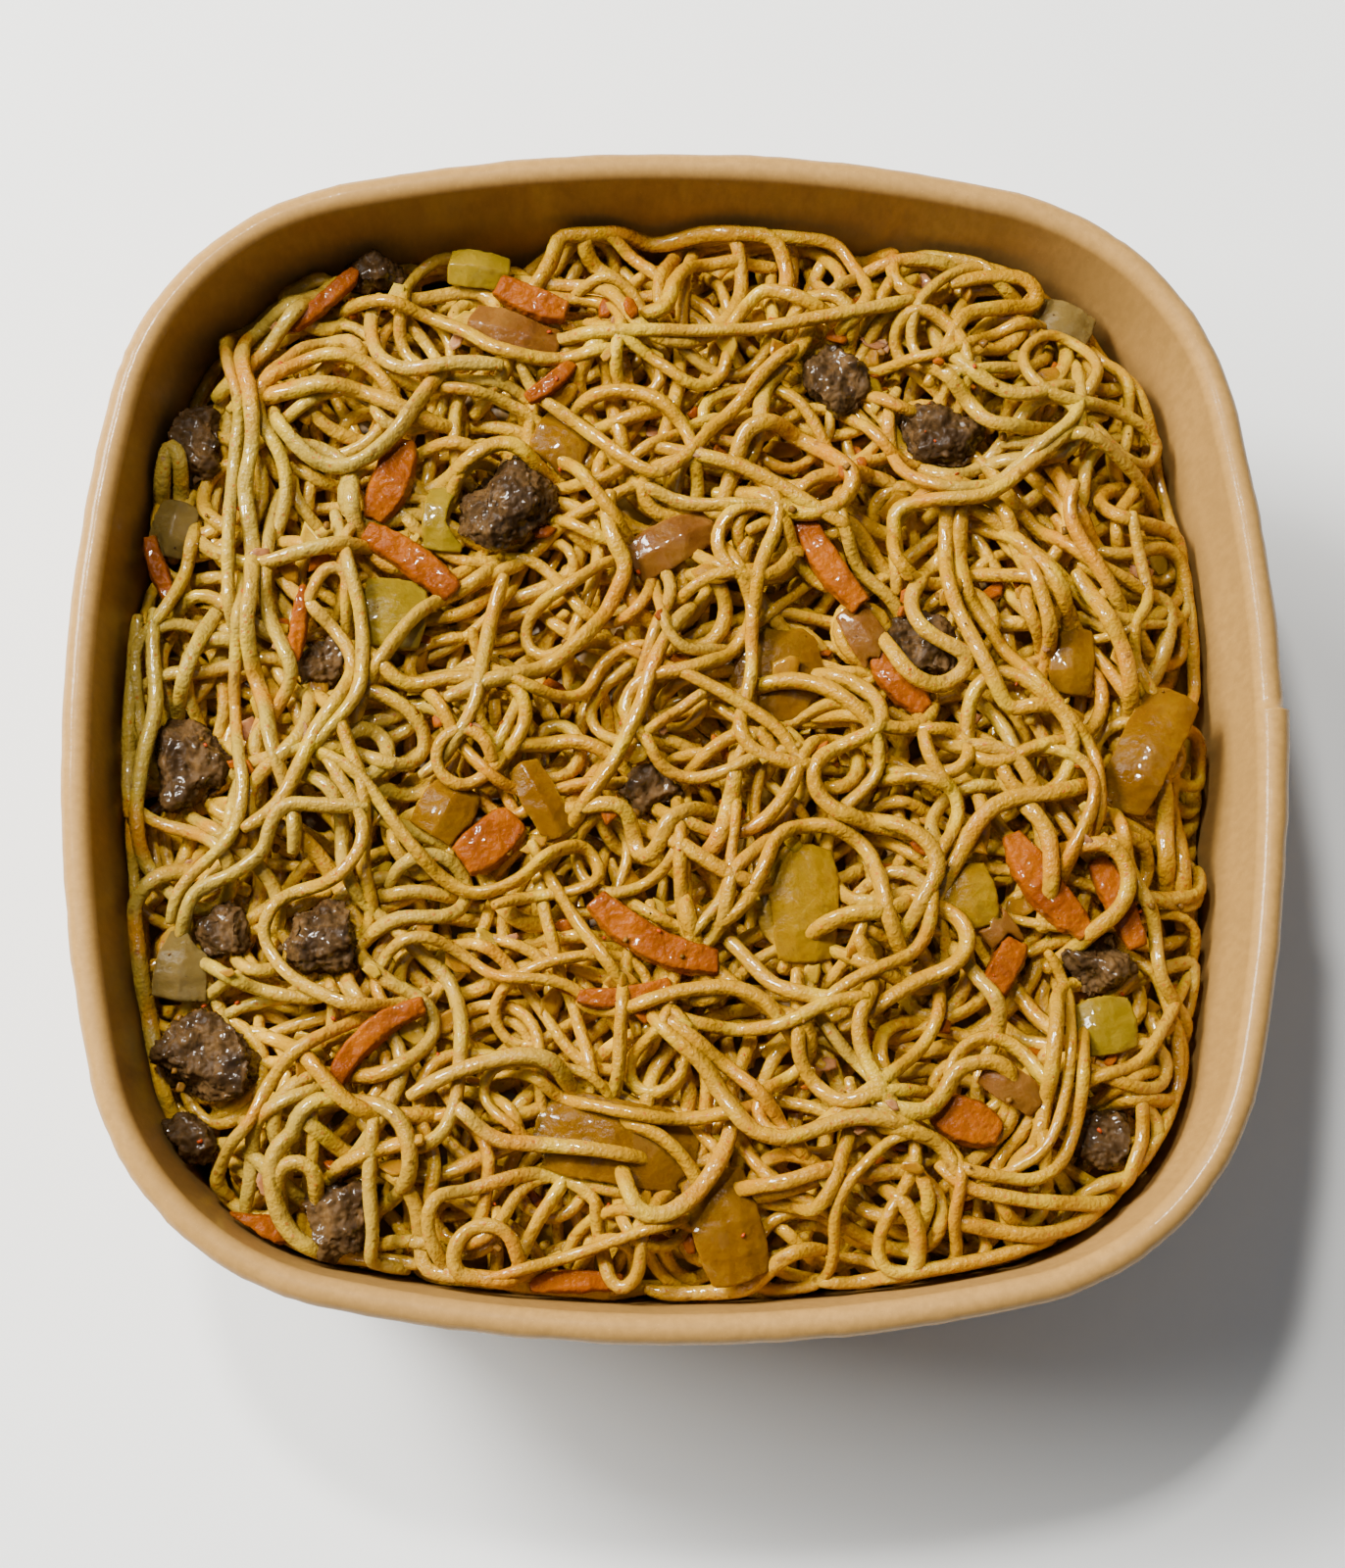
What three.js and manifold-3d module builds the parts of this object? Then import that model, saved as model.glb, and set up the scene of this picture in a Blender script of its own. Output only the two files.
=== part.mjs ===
// A square kraft-board takeaway bowl filled with stir-fried noodles, beef and vegetables.
//
// Frame: millimetres, +Z up, origin on the table under the middle of the bowl, +Y towards its far side.
// The bowl is two pieces of board: a tapered wall with a rolled rim, a side lap and a folded foot,
// and a base panel whose flange sits inside that fold. The food is one heap of noodles, with the
// strands that lie on top fused to its core, and the beef, carrot and onion pieces that show in it.
import * as THREE from "three";
import { mergeVertices } from "three/addons/utils/BufferGeometryUtils.js";
import Module from "manifold-3d";

const wasm = await Module();
wasm.setup();

// ---------------------------------------------------------------- driving dimensions, in mm
const RIM_HALF = 86; // half the width across the rolled rim
const SIDE_ARC = 228; // radius of each bowed side, at the rim's outer edge
const CORNER_ARC = 42; // radius of each corner, at the rim's outer edge
const HEIGHT = 62;
const TAPER = Math.tan(THREE.MathUtils.degToRad(8.5)); // how far the wall leans in, per mm down
const BOARD = 0.7;
const ROLL = 2.1; // radius of the rolled rim
const ROLL_END = -125; // angle at which the rolled board stops, in degrees from straight out
const BASE_LIFT = 6; // top of the base panel above the table
const BASE_BOARD = 0.6;
const FIT = 0.3; // clearance between pieces that touch
const LAP = { from: -9.5, to: 2.5, thick: 0.4, loose: 40, swell: 0.22 }; // the wall's glued side seam, on +X

const HEAP_TOP = 53.4; // highest strands of the heap
const EDGE_DROP = 8.5; // how much lower the heap is along the wall
const RIGHT_DROP = 7; // how much lower still beside the +X wall
const CORE_UNDER = 3.4; // the core's depth under the heap's own surface
const STRAND = 1.2; // radius of a noodle
const STRAND_SIDES = 5;
const STRAND_STEP = 7; // length of a noodle's straight facets
const STRAND_TURN = 40; // most it turns between facets, in degrees
const FUSE = 0.7; // how far crossing noodles sink into each other
const FACET_SLACK = 0.04; // how far the joined heap's facets may be merged away
const DIVE = 6.5; // length of the end of a noodle that runs down into the core

const RIM_Z = HEIGHT - ROLL;
const rad = THREE.MathUtils.degToRad;

// ---------------------------------------------------------------- helpers
function seeded(seed) {
  let a = seed * 2654435761;
  return () => {
    a = (a + 0x6d2b79f5) | 0;
    let t = Math.imul(a ^ (a >>> 15), 1 | a);
    t = (t + Math.imul(t ^ (t >>> 7), 61 | t)) ^ t;
    return ((t ^ (t >>> 14)) >>> 0) / 4294967296;
  };
}

// A smooth bump pattern between -1 and 1, made of a few waves with seeded directions.
function waves(seed, wavelength, count = 5) {
  const random = seeded(seed);
  const terms = Array.from({ length: count }, () => {
    const way = new THREE.Vector3(random() - 0.5, random() - 0.5, random() - 0.5).normalize();
    way.multiplyScalar((2 * Math.PI) / (wavelength * (0.7 + 0.7 * random())));
    return { way, phase: 2 * Math.PI * random() };
  });
  return (x, y, z = 0) =>
    terms.reduce((sum, t) => sum + Math.sin(t.way.x * x + t.way.y * y + t.way.z * z + t.phase), 0) / count;
}

function geometryFrom(points, triangles) {
  const geometry = new THREE.BufferGeometry();
  geometry.setAttribute("position", new THREE.Float32BufferAttribute(points.flat(), 3));
  geometry.setIndex(triangles.flat());
  return geometry;
}

function solidFrom(geometry) {
  const bare = geometry.clone();
  bare.deleteAttribute("normal");
  bare.deleteAttribute("uv");
  const merged = mergeVertices(bare, 1e-4);
  return new wasm.Manifold(
    new wasm.Mesh({
      numProp: 3,
      vertProperties: merged.attributes.position.array,
      triVerts: new Uint32Array(merged.index.array),
    }),
  );
}

function geometryOf(solid) {
  const mesh = solid.getMesh();
  const geometry = new THREE.BufferGeometry();
  geometry.setAttribute("position", new THREE.BufferAttribute(mesh.vertProperties, 3));
  geometry.setIndex(new THREE.BufferAttribute(mesh.triVerts, 1));
  return geometry;
}

// Joins rings of points, each with the same count, into triangles; a closed list of rings makes a torus.
function skin(ringCount, perRing, closed) {
  const triangles = [];
  for (let r = 0; r < (closed ? ringCount : ringCount - 1); r++) {
    for (let i = 0; i < perRing; i++) {
      const a = r * perRing + i;
      const b = r * perRing + ((i + 1) % perRing);
      const c = ((r + 1) % ringCount) * perRing + i;
      const d = ((r + 1) % ringCount) * perRing + ((i + 1) % perRing);
      triangles.push([a, b, c], [b, d, c]);
    }
  }
  return triangles;
}

// ---------------------------------------------------------------- the bowl's outline
// A square with bowed sides: side arcs centred on the axes, corner arcs centred on the diagonals,
// tangent where they meet. Lines parallel to it keep the same centres.
const sideCentre = RIM_HALF - SIDE_ARC;
const arcGap = SIDE_ARC - CORNER_ARC;
const cornerCentre = (sideCentre + Math.sqrt(2 * arcGap ** 2 - sideCentre ** 2)) / 2;
const sideAngle = Math.atan2(cornerCentre, cornerCentre - sideCentre);
const SIDE_STEPS = 4;
const CORNER_STEPS = 5;

// The angles of the outline's columns, with a pair of columns at each edge of the side lap.
const columnAngles = [];
for (let quarter = 0; quarter < 4; quarter++) {
  const turn = (quarter * Math.PI) / 2;
  for (let i = 0; i < SIDE_STEPS; i++)
    columnAngles.push({ turn, corner: false, angle: sideAngle * ((2 * i) / SIDE_STEPS - 1) });
  for (let i = 0; i < CORNER_STEPS; i++)
    columnAngles.push({ turn, corner: true, angle: sideAngle + (Math.PI / 2 - 2 * sideAngle) * (i / CORNER_STEPS) });
}
for (const y of [LAP.from - 0.4, LAP.from, LAP.to, LAP.to + 0.4])
  columnAngles.push({ turn: 0, corner: false, angle: Math.asin(y / SIDE_ARC) });
columnAngles.sort((a, b) => a.turn + a.angle - b.turn - b.angle);
const COLUMNS = columnAngles.length;

function outlinePoint(column, inset) {
  const { turn, corner, angle } = columnAngles[column];
  const radius = (corner ? CORNER_ARC : SIDE_ARC) - inset;
  const x = (corner ? cornerCentre : sideCentre) + radius * Math.cos(angle);
  const y = (corner ? cornerCentre : 0) + radius * Math.sin(angle);
  return [x * Math.cos(turn) - y * Math.sin(turn), x * Math.sin(turn) + y * Math.cos(turn)];
}

// How far a point lies inside the rim's outer outline.
function insetOf(x, y) {
  const [far, near] = [Math.max(Math.abs(x), Math.abs(y)), Math.min(Math.abs(x), Math.abs(y))];
  const onCorner = Math.atan2(near, far - sideCentre) > sideAngle;
  return onCorner
    ? CORNER_ARC - Math.hypot(far - cornerCentre, near - cornerCentre)
    : SIDE_ARC - Math.hypot(far - sideCentre, near);
}

// Inset of the wall's inner face at a height.
const wallInset = (z) => 2 * ROLL + (RIM_Z - z) * TAPER;

// The side lap: thicker board across the lap, and a rolled rim that springs out towards the lap's edge.
function lapAt(column) {
  const { turn, corner, angle } = columnAngles[column];
  const y = SIDE_ARC * Math.sin(angle);
  if (turn !== 0 || corner || y > LAP.to + 0.1) return { extra: 0, swell: 1 };
  const extra = y >= LAP.from - 0.1 ? LAP.thick : 0;
  const spring = Math.max(0, 1 - (LAP.to - y) / LAP.loose);
  return { extra, swell: 1 + LAP.swell * spring ** 2 };
}

// ---------------------------------------------------------------- the board wall and base
function wallSection(column) {
  const { extra, swell } = lapAt(column);
  const section = [];
  const layer = FIT + BASE_BOARD + FIT; // the space in the foot's fold that holds the base's flange
  section.push([wallInset(BASE_LIFT - 1) + layer + BOARD, BASE_LIFT - 1]);
  section.push([wallInset(BASE_LIFT - 1) + layer, BASE_LIFT - 1]);
  section.push([wallInset(BOARD) + layer, BOARD]);
  section.push([wallInset(BOARD), BOARD]);
  const outer = ROLL * swell;
  for (const angle of [180, 135, 90, 45, 0, -45, -90, ROLL_END])
    section.push([2 * ROLL - outer - outer * Math.cos(rad(angle)), RIM_Z + outer * Math.sin(rad(angle))]);
  const inner = outer - BOARD;
  for (const angle of [ROLL_END, -75, -15, 45, 105, 165])
    section.push([2 * ROLL - outer - inner * Math.cos(rad(angle)), RIM_Z + inner * Math.sin(rad(angle))]);
  for (const z of [RIM_Z - 4, 0.5]) section.push([wallInset(z) - BOARD - extra, z]);
  section.push([wallInset(0) - BOARD * 0.4, 0]);
  section.push([wallInset(0) + layer + BOARD * 0.4, 0]);
  section.push([wallInset(0) + layer + BOARD, 0.5]);
  return section;
}

function wallGeometry() {
  const points = [];
  let perRing = 0;
  for (let column = 0; column < COLUMNS; column++) {
    const section = wallSection(column);
    perRing = section.length;
    for (const [inset, z] of section) points.push([...outlinePoint(column, inset), z]);
  }
  return geometryFrom(points, skin(COLUMNS, perRing, true));
}

// A solid stacked from outline rings, closed at both ends by a fan round a middle point.
function ringStack(rings, firstMiddle, lastMiddle) {
  const points = rings.flat();
  const triangles = skin(rings.length, COLUMNS, false);
  const [first, last] = [points.length, points.length + 1];
  points.push(firstMiddle, lastMiddle);
  const top = (rings.length - 1) * COLUMNS;
  for (let i = 0; i < COLUMNS; i++) {
    const next = (i + 1) % COLUMNS;
    triangles.push([first, next, i], [last, top + i, top + next]);
  }
  return geometryFrom(points, triangles);
}

function outlineRing(inset, height) {
  return Array.from({ length: COLUMNS }, (_, column) => {
    const [x, y] = outlinePoint(column, inset);
    return [x, y, typeof height === "function" ? height(x, y) : height];
  });
}

function baseGeometry() {
  const under = BASE_LIFT - BASE_BOARD;
  const foot = BOARD + FIT;
  const rings = [
    outlineRing(wallInset(under) + FIT + BASE_BOARD, under),
    outlineRing(wallInset(foot) + FIT + BASE_BOARD, foot),
    outlineRing(wallInset(foot) + FIT, foot),
    outlineRing(wallInset(BASE_LIFT) + FIT, BASE_LIFT),
  ];
  return ringStack(rings, [0, 0, under], [0, 0, BASE_LIFT]);
}

// ---------------------------------------------------------------- the heap's own surface
const heapBumps = waves(11, 34);

function heapSurface(x, y) {
  const depth = THREE.MathUtils.clamp((insetOf(x, y) - 2 * ROLL) / 26, 0, 1);
  const edge = (1 - depth) ** 2.2;
  const right = THREE.MathUtils.smoothstep(x, 62, 80) * RIGHT_DROP;
  return HEAP_TOP - EDGE_DROP * edge - right + 1.1 * heapBumps(x, y);
}

// The core under the noodles and pieces; lift raises its top.
function coreGeometry(lift = 0) {
  const floor = BASE_LIFT + FIT;
  const rim = (x, y) => heapSurface(x, y) - CORE_UNDER + lift;
  const shoulder = HEAP_TOP - EDGE_DROP - RIGHT_DROP - CORE_UNDER - 2;
  const rings = [
    outlineRing(wallInset(floor) + FIT, floor),
    outlineRing(wallInset(shoulder) + FIT, shoulder),
    outlineRing(wallInset(shoulder) + FIT + 1, (x, y) => rim(x, y) - 1),
  ];
  for (const share of [0.9, 0.74, 0.5, 0.25])
    rings.push(
      outlineRing(wallInset(HEAP_TOP), 0).map(([x, y]) => [x * share, y * share, rim(x * share, y * share)]),
    );
  return ringStack(rings, [0, 0, floor], [0, 0, rim(0, 0)]);
}

// ---------------------------------------------------------------- pieces in the heap
// A chunk of beef: a lumpy, slightly boxy ball.
function beefGeometry({ size, seed, grow = 0 }) {
  const detail = Math.max(...size) > 13.5 ? 2 : 1;
  const ball = new THREE.IcosahedronGeometry(1, detail);
  const lumps = waves(seed, 1.9, 6);
  const position = ball.attributes.position;
  const at = new THREE.Vector3();
  for (let i = 0; i < position.count; i++) {
    at.fromBufferAttribute(position, i).normalize();
    const boxy = (Math.abs(at.x) ** 3 + Math.abs(at.y) ** 3 + Math.abs(at.z) ** 3) ** (-1 / 3);
    at.multiplyScalar(boxy * (1 + 0.2 * lumps(at.x, at.y, at.z)));
    position.setXYZ(i, ...size.map((s, axis) => at.getComponent(axis) * (s / 2 + grow)));
  }
  return ball;
}

// A shred of carrot: a four-sided strip along an arc, thinner towards its ends.
function carrotGeometry({ size, bend = 0, point = 0.7, grow = 0 }) {
  const [length, width, thick] = size;
  const stations = 7;
  const points = [];
  for (let i = 0; i < stations; i++) {
    const along = i / (stations - 1) - 0.5;
    const angle = rad(bend) * along;
    const radius = bend ? length / rad(bend) : 0;
    const middle = bend ? [radius * Math.sin(angle), radius * (1 - Math.cos(angle))] : [length * along, 0];
    const slim = 1 - (1 - point) * Math.abs(2 * along) ** 2.5;
    for (const [side, up] of [[-1, -1], [1, -0.8], [0.8, 1], [-0.8, 0.8]]) {
      const out = side * ((width / 2) * slim + grow);
      points.push([
        middle[0] - out * Math.sin(angle) + grow * 2 * along,
        middle[1] + out * Math.cos(angle),
        up * ((thick / 2) * slim + grow),
      ]);
    }
  }
  const triangles = skin(stations, 4, false);
  const end = (stations - 1) * 4;
  triangles.push([0, 3, 2], [0, 2, 1], [end, end + 1, end + 2], [end, end + 2, end + 3]);
  return geometryFrom(points, triangles);
}

// A cut onion layer: a thin shell, curved across its width and a little along its length.
function onionGeometry({ size, cup = 60, flare = 0, thick = 1.1, grow = 0 }) {
  const [length, width] = size;
  const [nu, nv] = length > 14 ? [5, 4] : [4, 3];
  const radius = width / rad(cup);
  const points = [];
  for (const face of [1, -1])
    for (let u = 0; u < nu; u++)
      for (let v = 0; v < nv; v++) {
        const along = u / (nu - 1) - 0.5;
        const across = v / (nv - 1) - 0.5;
        const angle = rad(cup) * across;
        const round = 1 + flare * along - 0.14 * (2 * along) ** 4;
        const r = radius + face * (thick / 2 + grow);
        points.push([
          (length + 2 * grow) * along * (1 - 0.08 * (2 * across) ** 2),
          r * Math.sin(angle) * round + 2 * grow * across,
          r * Math.cos(angle) - radius - length * 0.1 * (2 * along) ** 2,
        ]);
      }
  const triangles = [];
  const at = (face, u, v) => face * nu * nv + u * nv + v;
  for (let u = 0; u < nu - 1; u++)
    for (let v = 0; v < nv - 1; v++) {
      triangles.push([at(0, u, v), at(0, u + 1, v), at(0, u + 1, v + 1)]);
      triangles.push([at(0, u, v), at(0, u + 1, v + 1), at(0, u, v + 1)]);
      triangles.push([at(1, u, v), at(1, u + 1, v + 1), at(1, u + 1, v)]);
      triangles.push([at(1, u, v), at(1, u, v + 1), at(1, u + 1, v + 1)]);
    }
  const edge = [];
  for (let u = 0; u < nu - 1; u++) edge.push([u, 0]);
  for (let v = 0; v < nv - 1; v++) edge.push([nu - 1, v]);
  for (let u = nu - 1; u > 0; u--) edge.push([u, nv - 1]);
  for (let v = nv - 1; v > 0; v--) edge.push([0, v]);
  edge.forEach(([u, v], i) => {
    const [u2, v2] = edge[(i + 1) % edge.length];
    triangles.push([at(0, u, v), at(1, u, v), at(1, u2, v2)], [at(0, u, v), at(1, u2, v2), at(0, u2, v2)]);
  });
  return geometryFrom(points, triangles);
}

const SHAPES = { beef: beefGeometry, carrot: carrotGeometry, onion: onionGeometry };

// Where each piece lies: at is its middle, turn its heading in plan, lean its tilt about its own
// length, and rise how far its middle stands above the heap's surface, all in mm and degrees.
const PIECES = [
  { kind: "beef", at: [-23.8, 34.8], size: [17, 12.5, 10], turn: 48, rise: -2 },
  { kind: "beef", at: [-69.4, -3.4], size: [14, 11.5, 8.5], turn: 80, rise: -2.2 },
  { kind: "beef", at: [-64, -46], size: [18, 13, 10], turn: -12, rise: -2.6 },
  { kind: "beef", at: [-70.5, 45], size: [13, 12.5, 9], turn: 30, rise: -3.4 },
  { kind: "beef", at: [24.2, 54.6], size: [12.5, 9.5, 8.5], turn: 100, rise: -3.6 },
  { kind: "beef", at: [39.6, 46], size: [15, 9.5, 8.5], turn: -12, rise: -4 },
  { kind: "beef", at: [35.6, 13.6], size: [12, 10.5, 8], turn: -25, rise: -3.6 },
  { kind: "beef", at: [-49.8, -28.8], size: [13.5, 10.6, 8], turn: 12, rise: -2.4 },
  { kind: "beef", at: [-63.6, -27.4], size: [8.6, 8.6, 8], turn: 50, rise: -3.6 },
  { kind: "beef", at: [-46.4, -67.4], size: [13, 11, 8.5], turn: 30, rise: -2.4 },
  { kind: "beef", at: [60.2, -32.2], size: [10.5, 9, 8], turn: 15, rise: -4 },
  { kind: "beef", at: [59.5, -57], size: [10, 9.5, 8], turn: 0, rise: -3.2 },
  { kind: "beef", at: [-44, 71.8], size: [9, 6.6, 6.6], turn: 8, rise: -1.4 },
  { kind: "beef", at: [-51, 11.6], size: [9, 6.6, 7], turn: 80, rise: -3.6 },
  { kind: "beef", at: [-3, -6.8], size: [11, 7, 7], turn: 12, rise: -3.8 },
  { kind: "beef", at: [-68.4, -56.6], size: [11, 8, 6.5], turn: -50, rise: -3.2 },
  { kind: "carrot", at: [-41, 38.2], size: [13, 6.4, 2.4], turn: 70, bend: 10, point: 0.5, rise: -0.2 },
  { kind: "carrot", at: [-37.8, 26.6], size: [16, 5, 2.2], turn: -36, bend: -20, rise: 0.2 },
  { kind: "carrot", at: [-17.8, 53], size: [9, 3, 2], turn: 40, bend: 20, rise: 0.6 },
  { kind: "carrot", at: [-20.8, 66], size: [11, 5, 2.4], turn: -22, bend: 16, rise: 0.4 },
  { kind: "carrot", at: [-51, 66.8], size: [13, 3, 2], turn: 44, bend: 10, rise: 0.2 },
  { kind: "carrot", at: [-74.4, 25.2], size: [11, 2.8, 2], turn: -70, bend: 16, rise: 1 },
  { kind: "carrot", at: [-53.8, 16.4], size: [11.5, 2.6, 2], turn: 86, bend: -8, point: 0.4, rise: 1.4 },
  { kind: "carrot", at: [22.2, 25.6], size: [15.5, 4.8, 2.4], turn: -57, bend: 18, rise: 0.4 },
  { kind: "carrot", at: [32.4, 8.4], size: [11, 5.4, 2.2], turn: -48, bend: 8, point: 0.5, rise: -1 },
  { kind: "carrot", at: [-3.6, -29.8], size: [20, 5.4, 3], turn: -28, bend: 46, rise: 0.8 },
  { kind: "carrot", at: [-7.2, -37.4], size: [13.5, 3.2, 2.2], turn: 8, bend: 34, rise: 0.2 },
  { kind: "carrot", at: [-42.8, -42.8], size: [17.5, 3.8, 2.6], turn: 42, bend: -56, rise: 0.9 },
  { kind: "carrot", at: [52.2, -21.6], size: [18, 6.2, 2.4], turn: -54, bend: 24, point: 0.45, rise: 0 },
  { kind: "carrot", at: [63, -23.6], size: [14, 4.6, 2], turn: -66, bend: -10, rise: -0.8 },
  { kind: "carrot", at: [46.4, -33], size: [8.5, 5, 2.6], turn: 62, rise: -0.2 },
  { kind: "carrot", at: [40.4, -54.8], size: [10, 7.2, 2.6], turn: -20, point: 0.5, rise: -0.2 },
  { kind: "carrot", at: [-59, -69.2], size: [13, 4.8, 2.2], turn: -6, bend: 10, point: 0.5, rise: 0.4 },
  { kind: "carrot", at: [-26.2, -15], size: [10, 7.4, 2.4], turn: 40, bend: 12, rise: -0.8 },
  { kind: "carrot", at: [-14, -76.4], size: [13, 3.4, 2.2], turn: 2, bend: -14, rise: -0.2 },
  { kind: "onion", at: [67.6, -1.2], size: [20, 8.8], turn: 63, cup: 40, flare: 0.08, lean: -12, rise: 3.6 },
  { kind: "onion", at: [18.2, -23.8], size: [17, 9.8], turn: 92, cup: 46, flare: 0.12, rise: 0.2 },
  { kind: "onion", at: [6.9, -69.2], size: [16.5, 10], turn: -74, cup: 46, flare: -0.1, rise: 1.2 },
  { kind: "onion", at: [-8.6, -57.4], size: [24, 12], turn: -10, cup: 34, flare: 0, rise: -1.4 },
  { kind: "onion", at: [41.6, -23], size: [9.6, 7.6], turn: -78, cup: 34, flare: 0.06, rise: 0.8 },
  { kind: "onion", at: [60.6, -41.2], size: [9, 8.4], turn: 10, cup: 44, flare: 0, rise: 0.2 },
  { kind: "onion", at: [-40.4, 18.4], size: [10.5, 9.8], turn: 84, cup: 36, flare: 0, rise: 1 },
  { kind: "onion", at: [-28.6, 71.6], size: [9.4, 6.2], turn: -8, cup: 90, flare: 0, rise: 1.2 },
  { kind: "onion", at: [-0.4, 28.8], size: [14, 6.8], turn: 28, cup: 70, flare: -0.2, rise: 1 },
  { kind: "onion", at: [-69.4, -32.4], size: [10.5, 7.4], turn: 84, cup: 56, flare: -0.4, rise: 1.2 },
  { kind: "onion", at: [-72.6, 32], size: [9, 6.6], turn: 76, cup: 80, flare: 0, rise: 0.4 },
  { kind: "onion", at: [-33, 32.8], size: [10, 6.6], turn: 84, cup: 34, flare: 0, rise: -0.6 },
  { kind: "onion", at: [-16.4, 44.8], size: [10, 8.4], turn: 66, cup: 46, flare: 0, rise: -1 },
  { kind: "onion", at: [15, 9.8], size: [17, 12.5], turn: 50, cup: 36, flare: 0, rise: -2 },
  { kind: "onion", at: [27.4, 15.6], size: [9.6, 5.6], turn: -60, cup: 60, flare: 0, rise: 0.2 },
  { kind: "onion", at: [-32.4, -10.6], size: [9, 8.4], turn: 60, cup: 70, flare: -0.2, rise: 0.4 },
  { kind: "onion", at: [-19, -9.2], size: [12.5, 5.6], turn: -62, cup: 84, flare: 0, rise: 1 },
  { kind: "onion", at: [45.6, -27.6], size: [9, 5], turn: -56, cup: 60, flare: 0, rise: 0.4 },
  { kind: "onion", at: [46.8, -50.2], size: [9.6, 5], turn: -34, cup: 70, flare: 0, rise: 1.6 },
  { kind: "onion", at: [58.4, 65], size: [9.4, 5.6], turn: -24, cup: 44, flare: 0, rise: 0 },
  { kind: "onion", at: [57.4, 12], size: [10.5, 6.6], turn: 86, cup: 50, flare: 0, rise: -0.6 },
  { kind: "onion", at: [-23.4, 61], size: [14, 7], turn: -18, cup: 54, flare: 0, rise: -0.2 },
];

// The long noodles that lie on top, each through a few points in plan, in mm.
const STRANDS = [
  [[-13, 60.3], [-4, 60.3], [5, 60.5], [14, 61.1], [22, 62.8], [31, 65.5]],
  [[-48, 66], [-41, 65.6], [-35, 63.6], [-29, 60], [-23, 57.6], [-18.4, 57]],
  [[-64.2, 63], [-65, 57.5], [-63.2, 51.5], [-62.8, 45], [-63.8, 38], [-64.2, 31], [-61.5, 26]],
  [[-60, 64.5], [-62.4, 60], [-61.6, 51.5], [-60.2, 45], [-61, 38], [-60.6, 28], [-60.4, 17], [-58.8, 7], [-55, -5]],
  [[-51, 20.5], [-47.4, 14.5], [-45.6, 9.5], [-47, 4.5], [-51.5, -1.5], [-54, -8]],
  [[-50, -2], [-45, -8.5], [-43.8, -14.5], [-46.5, -19.2], [-52, -22], [-57.2, -25.6], [-57.8, -30], [-54, -34.4], [-48, -37.4]],
  [[-49.5, -3], [-43, -9], [-38, -15.5], [-32, -21.4], [-25, -22.8], [-19.6, -20.6], [-16.4, -16.8], [-13, -16.4], [-11.4, -20]],
  [[-65, -63.4], [-61.4, -57], [-57.6, -50.6], [-53.4, -45.2], [-48.6, -40.4]],
  [[-42.2, -54], [-42.4, -62], [-42.4, -69], [-43.2, -75]],
  [[18, 57.6], [13, 52.4], [7.6, 47], [3.8, 42], [0.4, 38.7], [-2.8, 37.8], [-6, 40.4], [-9, 44.4]],
  [[4, 41], [9.6, 39], [10.6, 45], [15.5, 46.7], [20.6, 44.8], [24.4, 41.4], [25.2, 37.4], [22.8, 34.6]],
  [[12.4, 33], [8, 31], [7.4, 27.6], [11, 25.6], [14.6, 26.2], [16.4, 28.6]],
  [[10.4, 26], [11.4, 19.4], [11.1, 12], [9.6, 5], [9.4, 0.6], [12, -3], [16.4, -4.2], [22, -3]],
  [[-9, 30], [-7.2, 26.4], [-8.2, 21.4], [-11.2, 16.6], [-15, 12.4], [-20, 9.6], [-25, 8.4]],
  [[-3.6, 12], [-5, 5.4], [-7, 0], [-10, -5], [-12, -8]],
  [[62.2, 50], [62.2, 55.4], [60.2, 60], [56.4, 61.8], [53.2, 60], [51.8, 56], [53.4, 52.2], [57, 50], [62, 49.6], [68, 48.4], [71.4, 45.8]],
  [[33, 41.4], [39.6, 37.7], [46, 38], [51.6, 41.6], [56.6, 46.4], [59, 51]],
  [[39.6, 30], [40, 22], [42.4, 15.4], [45.4, 8.6], [47.6, 4.6], [50.6, 4.8], [51.4, 9]],
  [[42.6, 29], [44, 21.6], [48, 14.6], [52.6, 8.4], [56.6, 2.4], [59.6, -4.6], [60.6, -10]],
  [[48.6, -3.4], [52.6, -1.8], [57, -4.2], [59.2, -8.6], [59, -11]],
  [[62, -12], [64.6, -18], [67.2, -24.6], [69.2, -31], [71.4, -38]],
  [[12.2, -21], [13.4, -16.8], [16.6, -14], [20.6, -13], [24.6, -14], [27.4, -16.4], [29, -20.4], [30, -25]],
  [[1, -44], [5, -49.4], [8.8, -54.8], [13, -57.5], [18.4, -56.6], [24.6, -54.4], [30.6, -54.8]],
  [[-31.6, -53.6], [-27, -56.8], [-21, -57.9], [-13, -58.2], [-4, -58.8]],
  [[-35, -67], [-31.6, -64], [-25.4, -62.6], [-18, -63]],
  [[-22.6, -70.6], [-27, -69.4], [-30.4, -72.4], [-29, -76.4], [-25, -77], [-22.4, -74]],
  [[55.4, -34.6], [55.2, -42], [53.6, -49.6], [50.2, -56.6], [45, -61.4]],
];

// ---------------------------------------------------------------- laying the noodles
const CELL = 0.6;
const GRID = Math.ceil(RIM_HALF / CELL) * 2 + 1;
const relief = new Float32Array(GRID * GRID); // height of what lies in the bowl, over a square grid
const cellOf = (v) => Math.round(v / CELL) + (GRID - 1) / 2;
const placeOf = (i) => (i - (GRID - 1) / 2) * CELL;

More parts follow.
